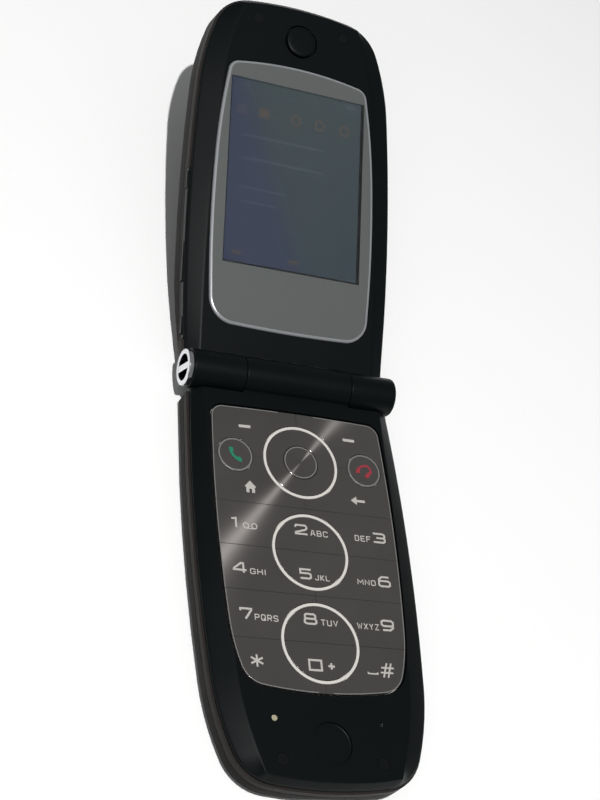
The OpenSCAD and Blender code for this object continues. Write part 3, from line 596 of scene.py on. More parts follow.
def eased_copy(node, name, ease, rounds=2):
    """A CAD node's shape with its corners eased, standing for that node."""
    source = NODES[node]
    work = bmesh.new()
    work.from_mesh(source.data)
    bmesh.ops.remove_doubles(work, verts=work.verts, dist=0.002 * MM)
    bmesh.ops.dissolve_limit(work, angle_limit=math.radians(0.6), verts=work.verts, edges=work.edges)
    work.verts.ensure_lookup_table()
    mesh = bpy.data.meshes.new(name)
    mesh.from_pydata([v.co[:] for v in work.verts], [], [[v.index for v in f.verts] for f in work.faces])
    work.free()
    piece = bpy.data.objects.new(name, mesh)
    bpy.context.scene.collection.objects.link(piece)
    slot = SLOT_OF[node]
    settle(piece, FINISH_OF_SLOT[slot], source["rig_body"], [node], ease, 35, rounds)


# ---------------------------------------------------------------- outlines
# Arcs are (radius, turn to the left in degrees, steps). An outline runs to the right of the middle
# line from the hinge outwards, as (x, s).

HALF_ROOT = 24.6     # half width at the hinge
HALF_HEADING = 85.85
HALF_ARCS = [(478.5, 8.1, 26), (57.8, 16.35, 14), (10.5, 61.4, 22)]
KEYPAD_NEAR = 8.8
KEYPAD_ARCS = [(484, 2.1, 4), (2.8, 84.56, 14), (381, 7.26, 14), (40, 14.03, 8), (5.7, 63.32, 16)]
LENS_NEAR = 11.7
LENS_ARCS = [(314, 2.59, 4), (6.2, 83.78, 18), (325, 6.21, 8), (172.6, 7.06, 8), (3.0, 70.13, 14)]


def arc(point, heading, radius, turn, steps):
    """Points along an arc that starts at point with a heading and turns left, in degrees."""
    x, y = point
    from_angle = math.radians(heading)
    out = []
    for i in range(1, steps + 1):
        angle = math.radians(heading + turn * i / steps)
        out.append((x + radius * (math.sin(angle) - math.sin(from_angle)),
                    y + radius * (math.cos(from_angle) - math.cos(angle))))
    return out


def chain(point, heading, arcs, inset=0.0):
    """Points along arcs that follow each other without a kink."""
    out = []
    for radius, turn, steps in arcs:
        out += arc(point, heading, radius - inset, turn, steps)
        point, heading = out[-1], heading + turn
    return out


def half_side(inset=0.0):
    """Right side of a half's outline from the hinge to the middle of its free end."""
    close_turn = 180 - HALF_HEADING - sum(turn for _, turn, _ in HALF_ARCS)
    lean = math.radians(HALF_HEADING)
    start = (HALF_ROOT - inset * math.sin(lean), inset * math.cos(lean))
    run = chain(start, HALF_HEADING, HALF_ARCS, inset)
    x, s = run[-1]
    stretch = HALF_LENGTH - inset - (s + x * math.tan(math.radians(close_turn / 2)))
    run = [(a, b + stretch) for a, b in run]
    last = run[-1]
    end = arc(last, 180 - close_turn, last[0] / math.sin(math.radians(close_turn)), close_turn, 6)
    return [start] + run + end[:-1] + [(0.0, HALF_LENGTH - inset)]


def plate_side(near, arcs, inset=0.0):
    """Right side of a plate that is closed by one last arc across its far edge."""
    run = chain((0.0, near + inset), 0.0, arcs, inset)
    left = 180 - sum(turn for _, turn, _ in arcs)
    last = run[-1]
    close_radius = last[0] / math.sin(math.radians(left))
    return [(0.0, near + inset)] + run + arc(last, 180 - left, close_radius, left, 8)


def whole(side):
    """Closed outline from its right side; both ends of that side lie on the middle line."""
    return side + [(-x, s) for x, s in reversed(side) if x > 0.01]


def keypad_outline(inset=0.0):
    return whole(plate_side(KEYPAD_NEAR, KEYPAD_ARCS, inset))


def lens_outline(inset=0.0):
    return whole(plate_side(LENS_NEAR, LENS_ARCS, inset))


def inside(inset, near):
    """The region within a half's outline, from a distance near of the hinge."""
    side = [(x, s) for x, s in half_side(inset) if s > near + 0.4]
    edge = side[0][0]
    return [(edge, near)] + side + [(-x, s) for x, s in reversed(side[:-1])] + [(-edge, near)]


# Crease between the flat face and the side facet, from the hinge to the free end's corner
CREASE = [(21.6, 0.0), (21.6, 12.0), (21.62, 24.0), (21.5, 34.0), (21.3, 42.0), (21.0, 50.0), (20.4, 57.0),
          (19.97, 63.0), (19.62, 70.0), (19.1, 75.5), (18.3, 80.0), (17.2, 84.5), (16.1, 88.3), (15.1, 91.7)]
END_CREASE = [(15.1, 91.7), (10.0, 92.5), (5.0, 92.9), (0.0, 93.0)]


def along(points, t):
    """Point at a share t of a smooth curve through points."""
    n = len(points) - 1
    f = min(max(t, 0.0), 1.0) * n
    i = min(int(f), n - 1)
    f -= i
    p = [Vector(points[min(max(k, 0), n)]) for k in (i - 1, i, i + 1, i + 2)]
    q = 0.5 * (2 * p[1] + (p[2] - p[0]) * f + (2 * p[0] - 5 * p[1] + 4 * p[2] - p[3]) * f ** 2
               + (3 * p[1] - p[0] - 3 * p[2] + p[3]) * f ** 3)
    return q.x, q.y


CREASE_LINE = [along(CREASE, i / 400) for i in range(401)]
CORNER_FROM = 76.0   # from here on the crease is matched to the outline by length, round the corner


def crease_width(s):
    return min(CREASE_LINE, key=lambda p: abs(p[1] - s))[0]


def crease_partner(side):
    """For each point of a half's side, the point of the crease that faces it."""
    turn = [i for i, (x, s) in enumerate(side) if s > CORNER_FROM and x > END_CREASE[0][0]]
    run, total = {}, 0.0
    for i in turn:
        total += math.dist(side[i], side[i - 1])
        run[i] = total
    corner = [p for p in CREASE_LINE if p[1] > CORNER_FROM]
    out = []
    for i, (x, s) in enumerate(side):
        if i in run:
            out.append(corner[min(int(run[i] / total * (len(corner) - 1)), len(corner) - 1)])
        elif s <= CORNER_FROM:
            out.append((crease_width(s), s))
        else:
            out.append((x, along(END_CREASE, 1 - x / END_CREASE[0][0])[1]))
    return out


def faceted_shell(face, edge, seam, near, step):
    """Black inner shell of a half: flat face, soft crease, sloping facet, low side wall.
    Rings of points run right round, from the seam up to the face."""
    side = half_side(step)
    first = next(i for i, p in enumerate(side) if p[1] > near + 0.3)
    x0, s0 = side[first - 1]
    x1, s1 = side[first]
    side = [(x0 + (x1 - x0) * (near - s0) / (s1 - s0), near)] + side[first:]
    partner = crease_partner(side)
    drop = face - edge
    # (share of the way from the outline to the crease, extra inset, height, step back at the hinge end)
    rings = [(0.0, 0.5, seam, 0.10), (0.0, 0.12, seam, 0.06), (0.0, 0.035, seam + 0.04, 0.01),
             (0.0, 0.0, seam + 0.12, 0.0), (0.0, 0.0, edge - 0.14, 0.0), (0.012, 0.0, edge - 0.04, 0.0),
             (0.04, 0.0, edge + 0.05, 0.0), (0.12, 0.0, edge + 0.13 * drop, 0.0),
             (0.5, 0.0, edge + 0.52 * drop, 0.0), (0.88, 0.0, face - 0.115 * drop, 0.0),
             (0.95, 0.0, face - 0.052 * drop, 0.02), (1.0, 0.0, face - 0.022, 0.05),
             (1.0, 0.18, face - 0.005, 0.12), (1.0, 0.4, face, 0.25)]
    verts, faces, n = [], [], 0
    for share, inset, z, back in rings:
        right = []
        for (x_out, s_out), (x_in, s_in) in zip(side, partner):
            away = Vector((x_out - x_in, s_out - s_in))
            away = away.normalized() if away.length > 1e-6 else Vector((0, 1))
            x = x_out + (x_in - x_out) * share - away.x * inset
            s = s_out + (s_in - s_out) * share - away.y * inset
            right.append((max(x, 0.0), s))
        right[0] = (right[0][0], near + back)
        right[-1] = (0.0, right[-1][1])
        loop = right + [(-x, s) for x, s in reversed(right[:-1])]
        n = len(loop)
        start = len(verts)
        verts += [(x, s, z) for x, s in loop]
        if start:
            faces += [(start - n + i, start - n + (i + 1) % n, start + (i + 1) % n, start + i)
                      for i in range(n)]
    faces.append(tuple(range(n - 1, -1, -1)))
    faces.append(tuple(range(len(verts) - n, len(verts))))
    return verts, faces


def disc(x, s, r, low, fillet=0.0, steps=64):
    """Upright cylinder that cuts from a height upwards, with the rim of its lower end rounded."""
    outline = rounded([(0.0, low, 0), (r, low, fillet), (r, OVER, 0), (0.0, OVER, 0)])
    return moved(turned(outline, steps), x, s)


# ------------------------------------------------------------- keypad half

# The opening for the keys is wider at the top: the moat leaves a dark line beside the metal
KEYPAD_GAP, MOAT, MOAT_FLOOR = 0.12, 0.45, 0.4
LIGHT_WINDOW = (-12.2, 80.3, 0.65)    # place and radius
MICROPHONE = (11.8, 80.5, 0.45)
EAR_RECESS_R, EAR_RECESS_DEPTH = 4.5, 0.55
SCREW_RECESS_FLOOR = -0.2
shell = raw("keypad_shell", on_keypad, faceted_shell(FACE, BASE_EDGE, BASE_SEAM, 4.95, BASE_STEP))
cut(shell, on_keypad,
    prism(keypad_outline(-KEYPAD_GAP), UNDER, OVER),
    prism(keypad_outline(-MOAT), MOAT_FLOOR, OVER),
    prism(inside(2.9, CAVITY_NEAR), UNDER, 0.0),
    prism(inside(2.0, CAVITY_NEAR), UNDER, -1.0),
    disc(0, EAR, EAR_RECESS_R, FACE - EAR_RECESS_DEPTH, 0.35, 96),
    *[disc(x, s, SCREW_COVER_R, SCREW_RECESS_FLOOR) for x, s in SCREW_COVERS],
    *[disc(x, s, r, UNDER, 0.0, 32) for x, s, r in (LIGHT_WINDOW, MICROPHONE)])
settle(shell, soft_touch, "keypad_half", ["base_top_shell"], ease=0.07, sharp=55)


def knuckle(bore, x0, x1):
    """Sleeve along the hinge axis with eased rims; bore is its inner radius."""
    profile = rounded([(bore, x0, 0.1), (BARREL_R, x0, 0.22), (BARREL_R, x1, 0.22), (bore, x1, 0.1)])
    return along_x(turned(profile, 128))


# The middle knuckle and the saddle that joins it to the shell
SADDLE_NEAR, SADDLE_FAR = 3.3, 5.4
saddle = box(*MIDDLE_KNUCKLE, SADDLE_NEAR, SADDLE_FAR, BASE_SEAM, FACE - 0.02)
make("middle_knuckle", on_keypad, joined(knuckle(3.02, *MIDDLE_KNUCKLE), saddle), soft_touch,
     "keypad_half", ["base_top_shell"], ease=0.1, sharp=50)

for node, name, ease in (("base_trim_band", "keypad_side_band", 0.14), ("base_rear_case", "rear_case", 0.12),
                         ("battery_cover", "sliding_cover", 0.15), ("usb_socket", "charging_socket", 0.08)):
    eased_copy(node, name, ease)

# Light rings round the navigation ring and the two digit pairs
ring_in, ring_out = RING_R - RING_W / 2, RING_R + RING_W / 2
ring_profile = rounded([(ring_in, -0.05, 0), (ring_out, -0.05, 0),
                        (ring_out, KEY_TOP + 0.01, 0.12), (ring_in, KEY_TOP + 0.01, 0.12)])
make("lit_rings", on_keypad, joined(*[moved(turned(ring_profile, 144), 0, s) for s in RING_PLACES]),
     light_guide, "keypad_half", ["light_rings"])


# ------------------------------------------------------------------- keys

def top_outline(node):
    """Outline of a flat key's top face as (x, s), and the middle of its stem."""
    work = bmesh.new()
    work.from_mesh(NODES[node].data)
    bmesh.ops.remove_doubles(work, verts=work.verts, dist=0.002 * MM)
    top = max(v.co.z for v in work.verts)
    level = [f for f in work.faces if all(abs(v.co.z - top) < 1e-6 for v in f.verts)]
    rim = {}
    for face in level:
        corners = list(face.verts)
        for a, b in zip(corners, corners[1:] + corners[:1]):
            edge = work.edges.get((a, b))
            if sum(f in level for f in edge.link_faces) == 1:
                rim[a] = b
    start = next(iter(rim))
    loop, here = [start], rim[start]
    while here != start:
        loop.append(here)
        here = rim[here]
    points = [(v.co.x / MM, HINGE.y - v.co.y / MM) for v in loop]
    low = min(v.co.z for v in work.verts)
    foot = [v.co for v in work.verts if v.co.z < low + 1e-6]
    stem = (sum(p.x for p in foot) / len(foot) / MM, HINGE.y - sum(p.y for p in foot) / len(foot) / MM)
    work.free()
    kept = []
    for i, p in enumerate(points):
        a, b = Vector(points[i - 1]) - Vector(p), Vector(points[(i + 1) % len(points)]) - Vector(p)
        if a.length > 1e-4 and (b.length < 1e-4 or math.pi - a.angle(b) > 1e-3):
            kept.append(p)
    return kept, stem


def grown(loop, by):
    """A closed outline moved outwards by a small amount."""
    area = sum(a[0] * b[1] - b[0] * a[1] for a, b in zip(loop, loop[1:] + loop[:1]))
    outside = 1 if area > 0 else -1
    out = []
    for i, p in enumerate(loop):
        before = (Vector(p) - Vector(loop[i - 1])).normalized()
        after = (Vector(loop[(i + 1) % len(loop)]) - Vector(p)).normalized()
        normal = Vector((before.y + after.y, -before.x - after.x)).normalized() * outside
        square = Vector((after.y, -after.x)) * outside
        out.append(tuple(Vector(p) + normal * by / max(normal.dot(square), 0.5)))
    return out


STEM_FOOT = -0.59
STEM = turned([(0, STEM_FOOT), (1.0, STEM_FOOT), (1.0, 0.3), (0, 0.3)], 24)
FLAT_KEYS = ["soft_key_left", "soft_key_right", "home_key", "back_key"]
FLAT_KEYS += ["key_" + digit for digit in "1234567890"] + ["key_star", "key_hash"]
for key in FLAT_KEYS:
    outline, stem = top_outline(key)
    plate = prism(grown(outline, 0.03), KEY_BOTTOM, KEY_TOP)
    make(key + "_cap", on_keypad, joined(plate, moved(STEM, *stem)), key_metal, key, [key],
         ease=0.035, sharp=40)


def round_cap(r, rim=0.12):
    """Round key: a shallow dish inside an eased rim."""
    return turned([(0, KEY_BOTTOM), (r, KEY_BOTTOM), (r, KEY_TOP - rim), (r - rim * 0.3, KEY_TOP - rim * 0.3),
                   (r - rim, KEY_TOP), (r - rim - 0.4, KEY_TOP), (r - rim - 0.7, KEY_TOP - 0.04),
                   (0, KEY_TOP - 0.05)])


# Place and radius of each round key, and the two radii of the bright line cut into it
CALL = (15.6, 21.1)
ROUND_KEYS = [("send_key", -CALL[0], CALL[1], 4.09, 3.64, 3.97), ("end_key", *CALL, 4.09, 3.64, 3.97),
              ("nav_key", 0.0, NAV, 4.04, 3.66, 3.92)]
for key, x, s, r, _, _ in ROUND_KEYS:
    make(key + "_cap", on_keypad, joined(moved(round_cap(r), x, s), moved(STEM, x, s)), key_metal, key,
         [key])
nav_in, nav_out = 4.16, ring_in - 0.1
nav_profile = rounded([(nav_in, KEY_BOTTOM, 0), (nav_out, KEY_BOTTOM, 0),
                       (nav_out, KEY_TOP, 0.12), (nav_in, KEY_TOP, 0.12)])
make("nav_ring_cap", on_keypad, moved(turned(nav_profile, 144), 0, NAV), key_metal, "nav_ring",
     ["nav_ring"])

# Bright cut line along the keypad's outer edge, in one length per key. The rows of keys meet at ROWS,
# whose first and last value lie beyond the keypad.
RIM_W = 0.2
RIM_FOOT, RIM_TOP = KEY_TOP - 0.06, KEY_TOP + 0.012
KEYPAD_MIDDLE = 43.0
ROWS = (0.0, CALL[1], 32.5, 42.75, 52.9, 63.5, 99.0)
ROW_GAP = 0.2
rim_loop = keypad_outline(0.13)


def rim_run(side, near, far):
    """The part of the keypad's edge on one side between two distances, with its ends set exactly."""
    run = [(x, s) for x, s in rim_loop if near < s < far and side * x > 0.1]
    run.sort(key=lambda p: math.atan2(p[1] - KEYPAD_MIDDLE, side * p[0]))
    for end, level in ((0, near), (-1, far)):
        if ROWS[0] + ROW_GAP < level < ROWS[-1] - ROW_GAP:
            past = [p for p in rim_loop if side * p[0] > 0 and (p[1] <= near if end == 0 else p[1] >= far)]
            beyond = min(past, key=lambda p: math.dist(p, run[end]))
            share = (level - run[end][1]) / (beyond[1] - run[end][1])
            tip = (run[end][0] + (beyond[0] - run[end][0]) * share, level)
            run = [tip] + run if end == 0 else run + [tip]
    return run


# Keys along the keypad's edge, with their side (-1 left, 1 right) and row
EDGE_KEYS = [("soft_key_left", -1, 0), ("soft_key_right", 1, 0), ("home_key", -1, 1), ("back_key", 1, 1),
             ("key_1", -1, 2), ("key_3", 1, 2), ("key_4", -1, 3), ("key_6", 1, 3),
             ("key_7", -1, 4), ("key_9", 1, 4), ("key_star", -1, 5), ("key_hash", 1, 5)]
for key, side, row in EDGE_KEYS:
    run = rim_run(side, ROWS[row] + ROW_GAP / 2, ROWS[row + 1] - ROW_GAP / 2)
    make(key + "_rim", on_keypad, ribbon(run, RIM_W, RIM_FOOT, RIM_TOP), cut_rim, key, sharp=30)
for key, x, s, _, r_in, r_out in ROUND_KEYS:
    make(key + "_rim", on_keypad, hoop(x, s, r_in, r_out, RIM_FOOT, RIM_TOP, 96), cut_rim, key)


# ---------------------------------------------------------------- legends

# Strokes of each sign as x,y points in hundredths of its box, from the lower left corner. Where two
# strokes cross or meet, each one is a little higher than the one before it, so that no two tops
# share a plane.
SIGNS = {
    "0": "0,0 100,0 100,100 0,100 0,0",
    "1": "10,93 75,100 75,0",
    "2": "0,80 8,100 90,100 100,85 100,65 85,50 2,16 0,0 100,0",
    "3": "0,100 85,100 100,88 100,64 86,50 30,50 / 86,50 100,37 100,12 85,0 0,0",
    "4": "80,0 80,100 / 80,100 62,100 0,36 0,25 100,25",
    "5": "100,100 0,100 0,57 85,57 100,45 100,12 85,0 0,0",
    "6": "90,100 30,100 4,75 0,15 15,0 85,0 100,14 100,43 85,57 14,57",
    "7": "0,82 0,100 100,100 100,90 45,0",
    "8": "12,52 5,64 5,88 18,100 82,100 95,88 95,64 88,52 12,52 / "
         "12,52 0,38 0,12 15,0 85,0 100,12 100,38 88,52",
    "9": "10,0 70,0 96,25 100,85 85,100 15,100 0,86 0,57 15,43 86,43",
    "*": "50,0 50,100 / 5,24 95,76 / 5,76 95,24",
    "#": "18,0 50,100 / 52,0 84,100 / 8,68 100,68 / 0,32 92,32",
    "+": "0,50 100,50 / 50,0 50,100",
    "_": "0,40 0,0 100,0 100,40",
    "A": "0,0 35,100 65,100 100,0 / 15,33 85,33",
    "B": "0,52 0,100 80,100 95,88 95,64 82,52 0,52 / 0,52 0,0 85,0 100,14 100,38 82,52",
    "C": "100,80 85,100 15,100 0,85 0,15 15,0 85,0 100,20",
    "D": "0,0 0,100 80,100 100,80 100,20 80,0 0,0",
    "E": "100,100 0,100 0,0 100,0 / 0,50 85,50",
    "F": "100,100 0,100 0,0 / 0,50 80,50",
    "G": "100,80 85,100 15,100 0,85 0,15 15,0 85,0 100,15 100,45 60,45",
    "H": "0,0 0,100 / 100,0 100,100 / 0,50 100,50",
    "I": "50,0 50,100",
    "J": "100,100 100,15 85,0 15,0 0,20",
    "K": "0,0 0,100 / 100,100 15,50 100,0",
    "L": "0,100 0,0 100,0",
    "M": "0,0 0,100 50,35 100,100 100,0",
    "N": "0,0 0,100 100,0 100,100",
    "O": "15,0 85,0 100,15 100,85 85,100 15,100 0,85 0,15 15,0",
    "P": "0,0 0,100 85,100 100,88 100,57 85,45 17,45",
    "Q": "15,0 85,0 100,15 100,85 85,100 15,100 0,85 0,15 15,0 / 60,32 105,-6",
    "R": "0,0 0,100 85,100 100,88 100,57 85,45 17,45 / 50,45 100,0",
    "S": "100,85 85,100 15,100 0,87 0,63 15,52 85,48 100,37 100,13 85,0 15,0 0,15",
    "T": "0,100 100,100 / 50,100 50,0",
    "U": "0,100 0,15 15,0 85,0 100,15 100,100",
    "V": "0,100 50,0 100,100",
    "W": "0,100 25,0 50,80 75,0 100,100",
    "X": "0,100 100,0 / 0,0 100,100",
    "Y": "0,100 50,50 100,100 / 50,50 50,0",
    "Z": "0,100 100,100 0,0 100,0",
}
SIGN_FOOT, SIGN_TOP = KEY_TOP - 0.05, KEY_TOP + 0.03
STROKE_STEP = 0.006
LETTER_GAP = 0.32
BIG, SMALL = 0.44, 0.22   # weights of the digits and of the letters


def sign(letter, x0, x1, s_near, s_far, weight):
    """One sign between x0 and x1; its top is at s_near and its foot at s_far, outside edges included."""
    left, foot = x0 + weight / 2, s_far - weight / 2
    wide, high = x1 - x0 - weight, s_far - s_near - weight
    out = []
    for i, stroke in enumerate(SIGNS[letter].split("/")):
        points = [[int(part) / 100 for part in point.split(",")] for point in stroke.split()]
        out.append(ribbon([(left + u * wide, foot - v * high) for u, v in points], weight,
                          SIGN_FOOT, SIGN_TOP + i * STROKE_STEP))
    return out


def word(letters, x0, x1, s_near, s_far):
    """Small signs spread evenly from x0 to x1. I takes a third of a place."""
    shares = [0.3 if c == "I" else 1.25 if c in "MW" else 1.0 for c in letters]
    unit = (x1 - x0 - LETTER_GAP * (len(letters) - 1)) / sum(shares)
    out, x = [], x0
    for c, share in zip(letters, shares):
        out += sign(c, x, x + unit * share, s_near, s_far, SMALL)
        x += unit * share + LETTER_GAP
    return out


def patch(points, r, low=SIGN_FOOT, high=SIGN_TOP):
    """A filled sign whose corners are all rounded by r."""
    return prism(rounded([(x, s, r) for x, s in points]), low, high)


def handset(grip, weight, *pads):
    """A telephone handset: a curved grip, and a slightly higher pad (outline, radius) at each end."""
    foot = KEY_TOP - 0.1
    curve = ribbon(grip, weight, foot, KEY_TOP + 0.02)
    return [curve] + [patch(points, r, foot, KEY_TOP + 0.045) for points, r in pads]


LEGENDS = {
    "key_1": sign("1", -18.1, -16.3, 36.4, 38.9, BIG)
             + [hoop(x, 38.12, 0.48, 0.74, SIGN_FOOT, SIGN_TOP, 32) for x in (-14.6, -12.7)]
             + [ribbon([(-14.6, 38.75), (-12.7, 38.75)], 0.24, SIGN_FOOT, SIGN_TOP - 0.005)],
    "key_2": sign("2", -3.3, -0.2, 36.4, 38.9, BIG) + word("ABC", 0.4, 4.6, 37.5, 38.9),
    "key_3": sign("3", 15.6, 18.7, 36.4, 38.9, BIG) + word("DEF", 11.1, 15.0, 37.5, 38.9),
    "key_4": sign("4", -18.5, -15.3, 46.8, 49.3, BIG) + word("GHI", -14.6, -11.0, 48.0, 49.3),
    "key_5": sign("5", -3.2, -0.4, 46.8, 49.3, BIG) + word("JKL", 0.3, 3.8, 48.0, 49.3),
    "key_6": sign("6", 15.4, 18.5, 46.8, 49.4, BIG) + word("MNO", 10.4, 14.8, 48.0, 49.3),
    "key_7": sign("7", -17.8, -14.9, 57.0, 59.6, BIG) + word("PQRS", -14.5, -9.2, 58.2, 59.6),
    "key_8": sign("8", -3.4, -0.3, 57.0, 59.6, BIG) + word("TUV", 0.5, 4.5, 58.2, 59.6),
    "key_9": sign("9", 14.7, 17.9, 57.0, 59.6, BIG) + word("WXYZ", 9.0, 14.2, 58.2, 59.6),
    "key_star": sign("*", -16.4, -13.3, 67.0, 69.8, 0.42),
    "key_0": sign("0", -3.4, -0.2, 67.2, 69.8, BIG) + sign("+", 1.0, 2.7, 67.7, 69.3, 0.45),
    "key_hash": sign("#", 13.1, 16.5, 66.8, 70.2, 0.38) + sign("_", 10.1, 12.6, 68.6, 69.6, 0.3),
    "soft_key_left": [patch([(-14.2, 13.45), (-11.4, 13.35), (-11.4, 14.05), (-14.2, 14.15)], 0.2)],
    "soft_key_right": [patch([(11.2, 13.4), (14.1, 13.4), (14.1, 14.1), (11.2, 14.1)], 0.2)],
    # a house, and an arrow to the left
    "home_key": [patch([(-12.75, 27.2), (-11.35, 28.75), (-11.75, 28.75), (-11.75, 30.1), (-12.45, 30.1),
                        (-12.45, 29.2), (-13.05, 29.2), (-13.05, 30.1), (-13.75, 30.1), (-13.75, 28.75),
                        (-14.15, 28.75)], 0.05)],
    "back_key": [prism(rounded([(11.3, 29.0, 0.05), (12.75, 27.95, 0.05), (12.75, 28.72, 0.05),
                                (14.8, 28.72, 0.1), (14.8, 29.32, 0.1), (12.75, 29.32, 0.05),
                                (12.75, 30.05, 0.05)]), SIGN_FOOT, SIGN_TOP)],
    "send_key": handset([(-16.65, 19.7), (-16.55, 20.6), (-16.0, 21.5), (-15.2, 22.2), (-14.35, 22.55)], 0.62,
                        ([(-17.05, 19.5), (-16.1, 19.4), (-15.95, 20.35), (-16.9, 20.6)], 0.15),
                        ([(-15.2, 21.55), (-14.35, 21.75), (-14.1, 22.65), (-15.0, 22.85)], 0.15)),
    "end_key": handset([(13.75, 21.7), (14.3, 20.7), (15.2, 20.0), (16.5, 19.7), (17.3, 20.6), (17.3, 21.5)],
                       0.5, ([(13.45, 21.9), (13.7, 20.9), (14.7, 20.6), (14.5, 21.8)], 0.15),
                       ([(15.5, 22.6), (16.6, 21.3), (17.4, 21.6), (16.4, 22.9)], 0.2)),
}
TINTED_SIGNS = {"send_key": green_guide, "end_key": red_guide}
# Signs without a tint take the acrylic painted greyer as shade
for key, marks in LEGENDS.items():
    make(key + "_legend", on_keypad, joined(*marks), TINTED_SIGNS.get(key, sign_guide_painted_shade), key,
         sharp=30)


# --------------------------------------------------------------------- lid

EAR_OPENING_R = 4.25
LID_KNUCKLE_ENDS = (MIDDLE_KNUCKLE[0] - KNUCKLE_GAP, MIDDLE_KNUCKLE[1] + KNUCKLE_GAP)
window_hole = rounded([(-18.3, 25.4, 1), (18.3, 25.4, 1), (18.3, 72.0, 1), (17.6, 74.6, 1),
                       (-17.6, 74.6, 1), (-18.3, 72.0, 1)])
lid_shell = raw("lid_shell", on_lid, faceted_shell(LID_FACE, LID_EDGE, LID_SEAM, 1.2, LID_STEP))
cut(lid_shell, on_lid,
    box(*LID_KNUCKLE_ENDS, -2, 5.2, UNDER, OVER),
    prism(lens_outline(-0.1), LENS_BOTTOM - 0.05, OVER),
    prism(window_hole, UNDER, OVER),
    prism(inside(2.0, CAVITY_NEAR), UNDER, LID_CEILING),
    disc(0, EAR, EAR_OPENING_R, LID_FACE - 0.95, 0.0, 96),
    *[disc(x, s, SCREW_COVER_R, LID_FACE - 1.25) for x, s in SCREW_COVERS])
settle(lid_shell, soft_touch, "lid", ["lid_inner_frame"], ease=0.07, sharp=55)
for name, bore, x0, x1 in (("left_knuckle", 3.05, BARREL_LEFT, LID_KNUCKLE_ENDS[0]),
                           ("right_knuckle", 3.22, LID_KNUCKLE_ENDS[1], BARREL_RIGHT)):
    make(name, on_lid, knuckle(bore, x0, x1), soft_touch, "lid", ["lid_inner_frame"])

# Black strip in the left wall, with a pocket for each side key: (middle, half length)
STRIP_NEAR, STRIP_FAR, STRIP_H = 7.6, 48.5, 1.5
SIDE_KEY_POCKETS = ((25.7, 4.75), (45.5, 2.15), (10.75, 2.05))
POCKET_LOW, POCKET_HIGH = -5.0, -3.8


def strip_line(inset):
    """The left wall's line between the strip's two ends."""
    run = [(-x, s) for x, s in half_side(inset) if STRIP_NEAR < s < STRIP_FAR]
    return [(run[0][0], STRIP_NEAR)] + run + [(run[-1][0], STRIP_FAR)]


strip_outline = strip_line(0.1 - LID_GROW) + strip_line(2.0)[::-1]
strip = raw("side_key_strip", on_lid, prism(strip_outline, LID_SEAM - STRIP_H, LID_SEAM + 0.2))
cut(strip, on_lid, *[box(-40, -22.7, middle - half, middle + half, POCKET_LOW, POCKET_HIGH)
                     for middle, half in SIDE_KEY_POCKETS])
settle(strip, soft_touch, "lid", ["lid_inner_frame"], ease=0.05, sharp=50)

for node, name, ease, rounds in (("lid_trim_band", "lid_side_band", 0.14, 2),
                                 ("lid_outer_cover", "outer_cover", 0.12, 2),
                                 ("outer_window", "outer_window_pane", 0.2, 3),
                                 ("volume_rocker", "volume_rocker_cap", 0.18, 3),
                                 ("side_key_upper", "side_key_upper_cap", 0.18, 3),
                                 ("side_key_lower", "side_key_lower_cap", 0.18, 3)):
    eased_copy(node, name, ease, rounds)

# Display plate: grey print behind clear acrylic, a polished edge all round in a lighter grey that is a
# painted highlight, and the clear window
EDGE_W = 0.7
PANE_GAP = 0.03
half_wide, window_near, window_far = WINDOW
opening = panel(-half_wide, half_wide, window_near, window_far, 0.25)
plate = raw("display_plate", on_lid, prism(lens_outline(EDGE_W), LENS_BOTTOM, LENS_TOP))
cut(plate, on_lid, prism(opening, UNDER, OVER))
settle(plate, grey_print, "lid", ["screen_lens"], ease=0.0, sharp=40)
edge_levels = [(0.0, LENS_BOTTOM), (0.0, LENS_TOP - 0.42), (0.12, LENS_TOP - 0.2), (0.32, LENS_TOP - 0.05),
               (EDGE_W, LENS_TOP), (EDGE_W, LENS_BOTTOM)]
edge_verts = [(x, s, z) for inset, z in edge_levels for x, s in lens_outline(inset)]
edge_faces = []
count, around = len(edge_levels), len(lens_outline())
for k in range(count):
    here, above = k * around, (k + 1) % count * around
    edge_faces += [(here + i, here + (i + 1) % around, above + (i + 1) % around, above + i)
                   for i in range(around)]
# The edge's lighter grey is a painted highlight
make("display_plate_edge", on_lid, (edge_verts, edge_faces), lens_edge_painted_highlight, "lid", ["screen_lens"],
     sharp=50)
pane = panel(-half_wide + PANE_GAP, half_wide - PANE_GAP, window_near + PANE_GAP, window_far - PANE_GAP, 0.25)
make("display_window", on_lid, prism(pane, LENS_BOTTOM + 0.02, LENS_TOP - 0.02), clear_pane, "lid",
     ["screen_lens"], ease=0.05, sharp=40)

# Dim idle picture on the display: status marks, a row of plain icons, lines and soft-key labels
PICTURE = LENS_BOTTOM - 0.09
PICTURE_TOP = PICTURE + 0.012
ICON_ROW = 64.8
SIGNAL_BAR_STEP = 0.8


def bar(x0, x1, s0, s1, r=0.15):
    return prism(panel(x0, x1, s0, s1, r), PICTURE, PICTURE_TOP)


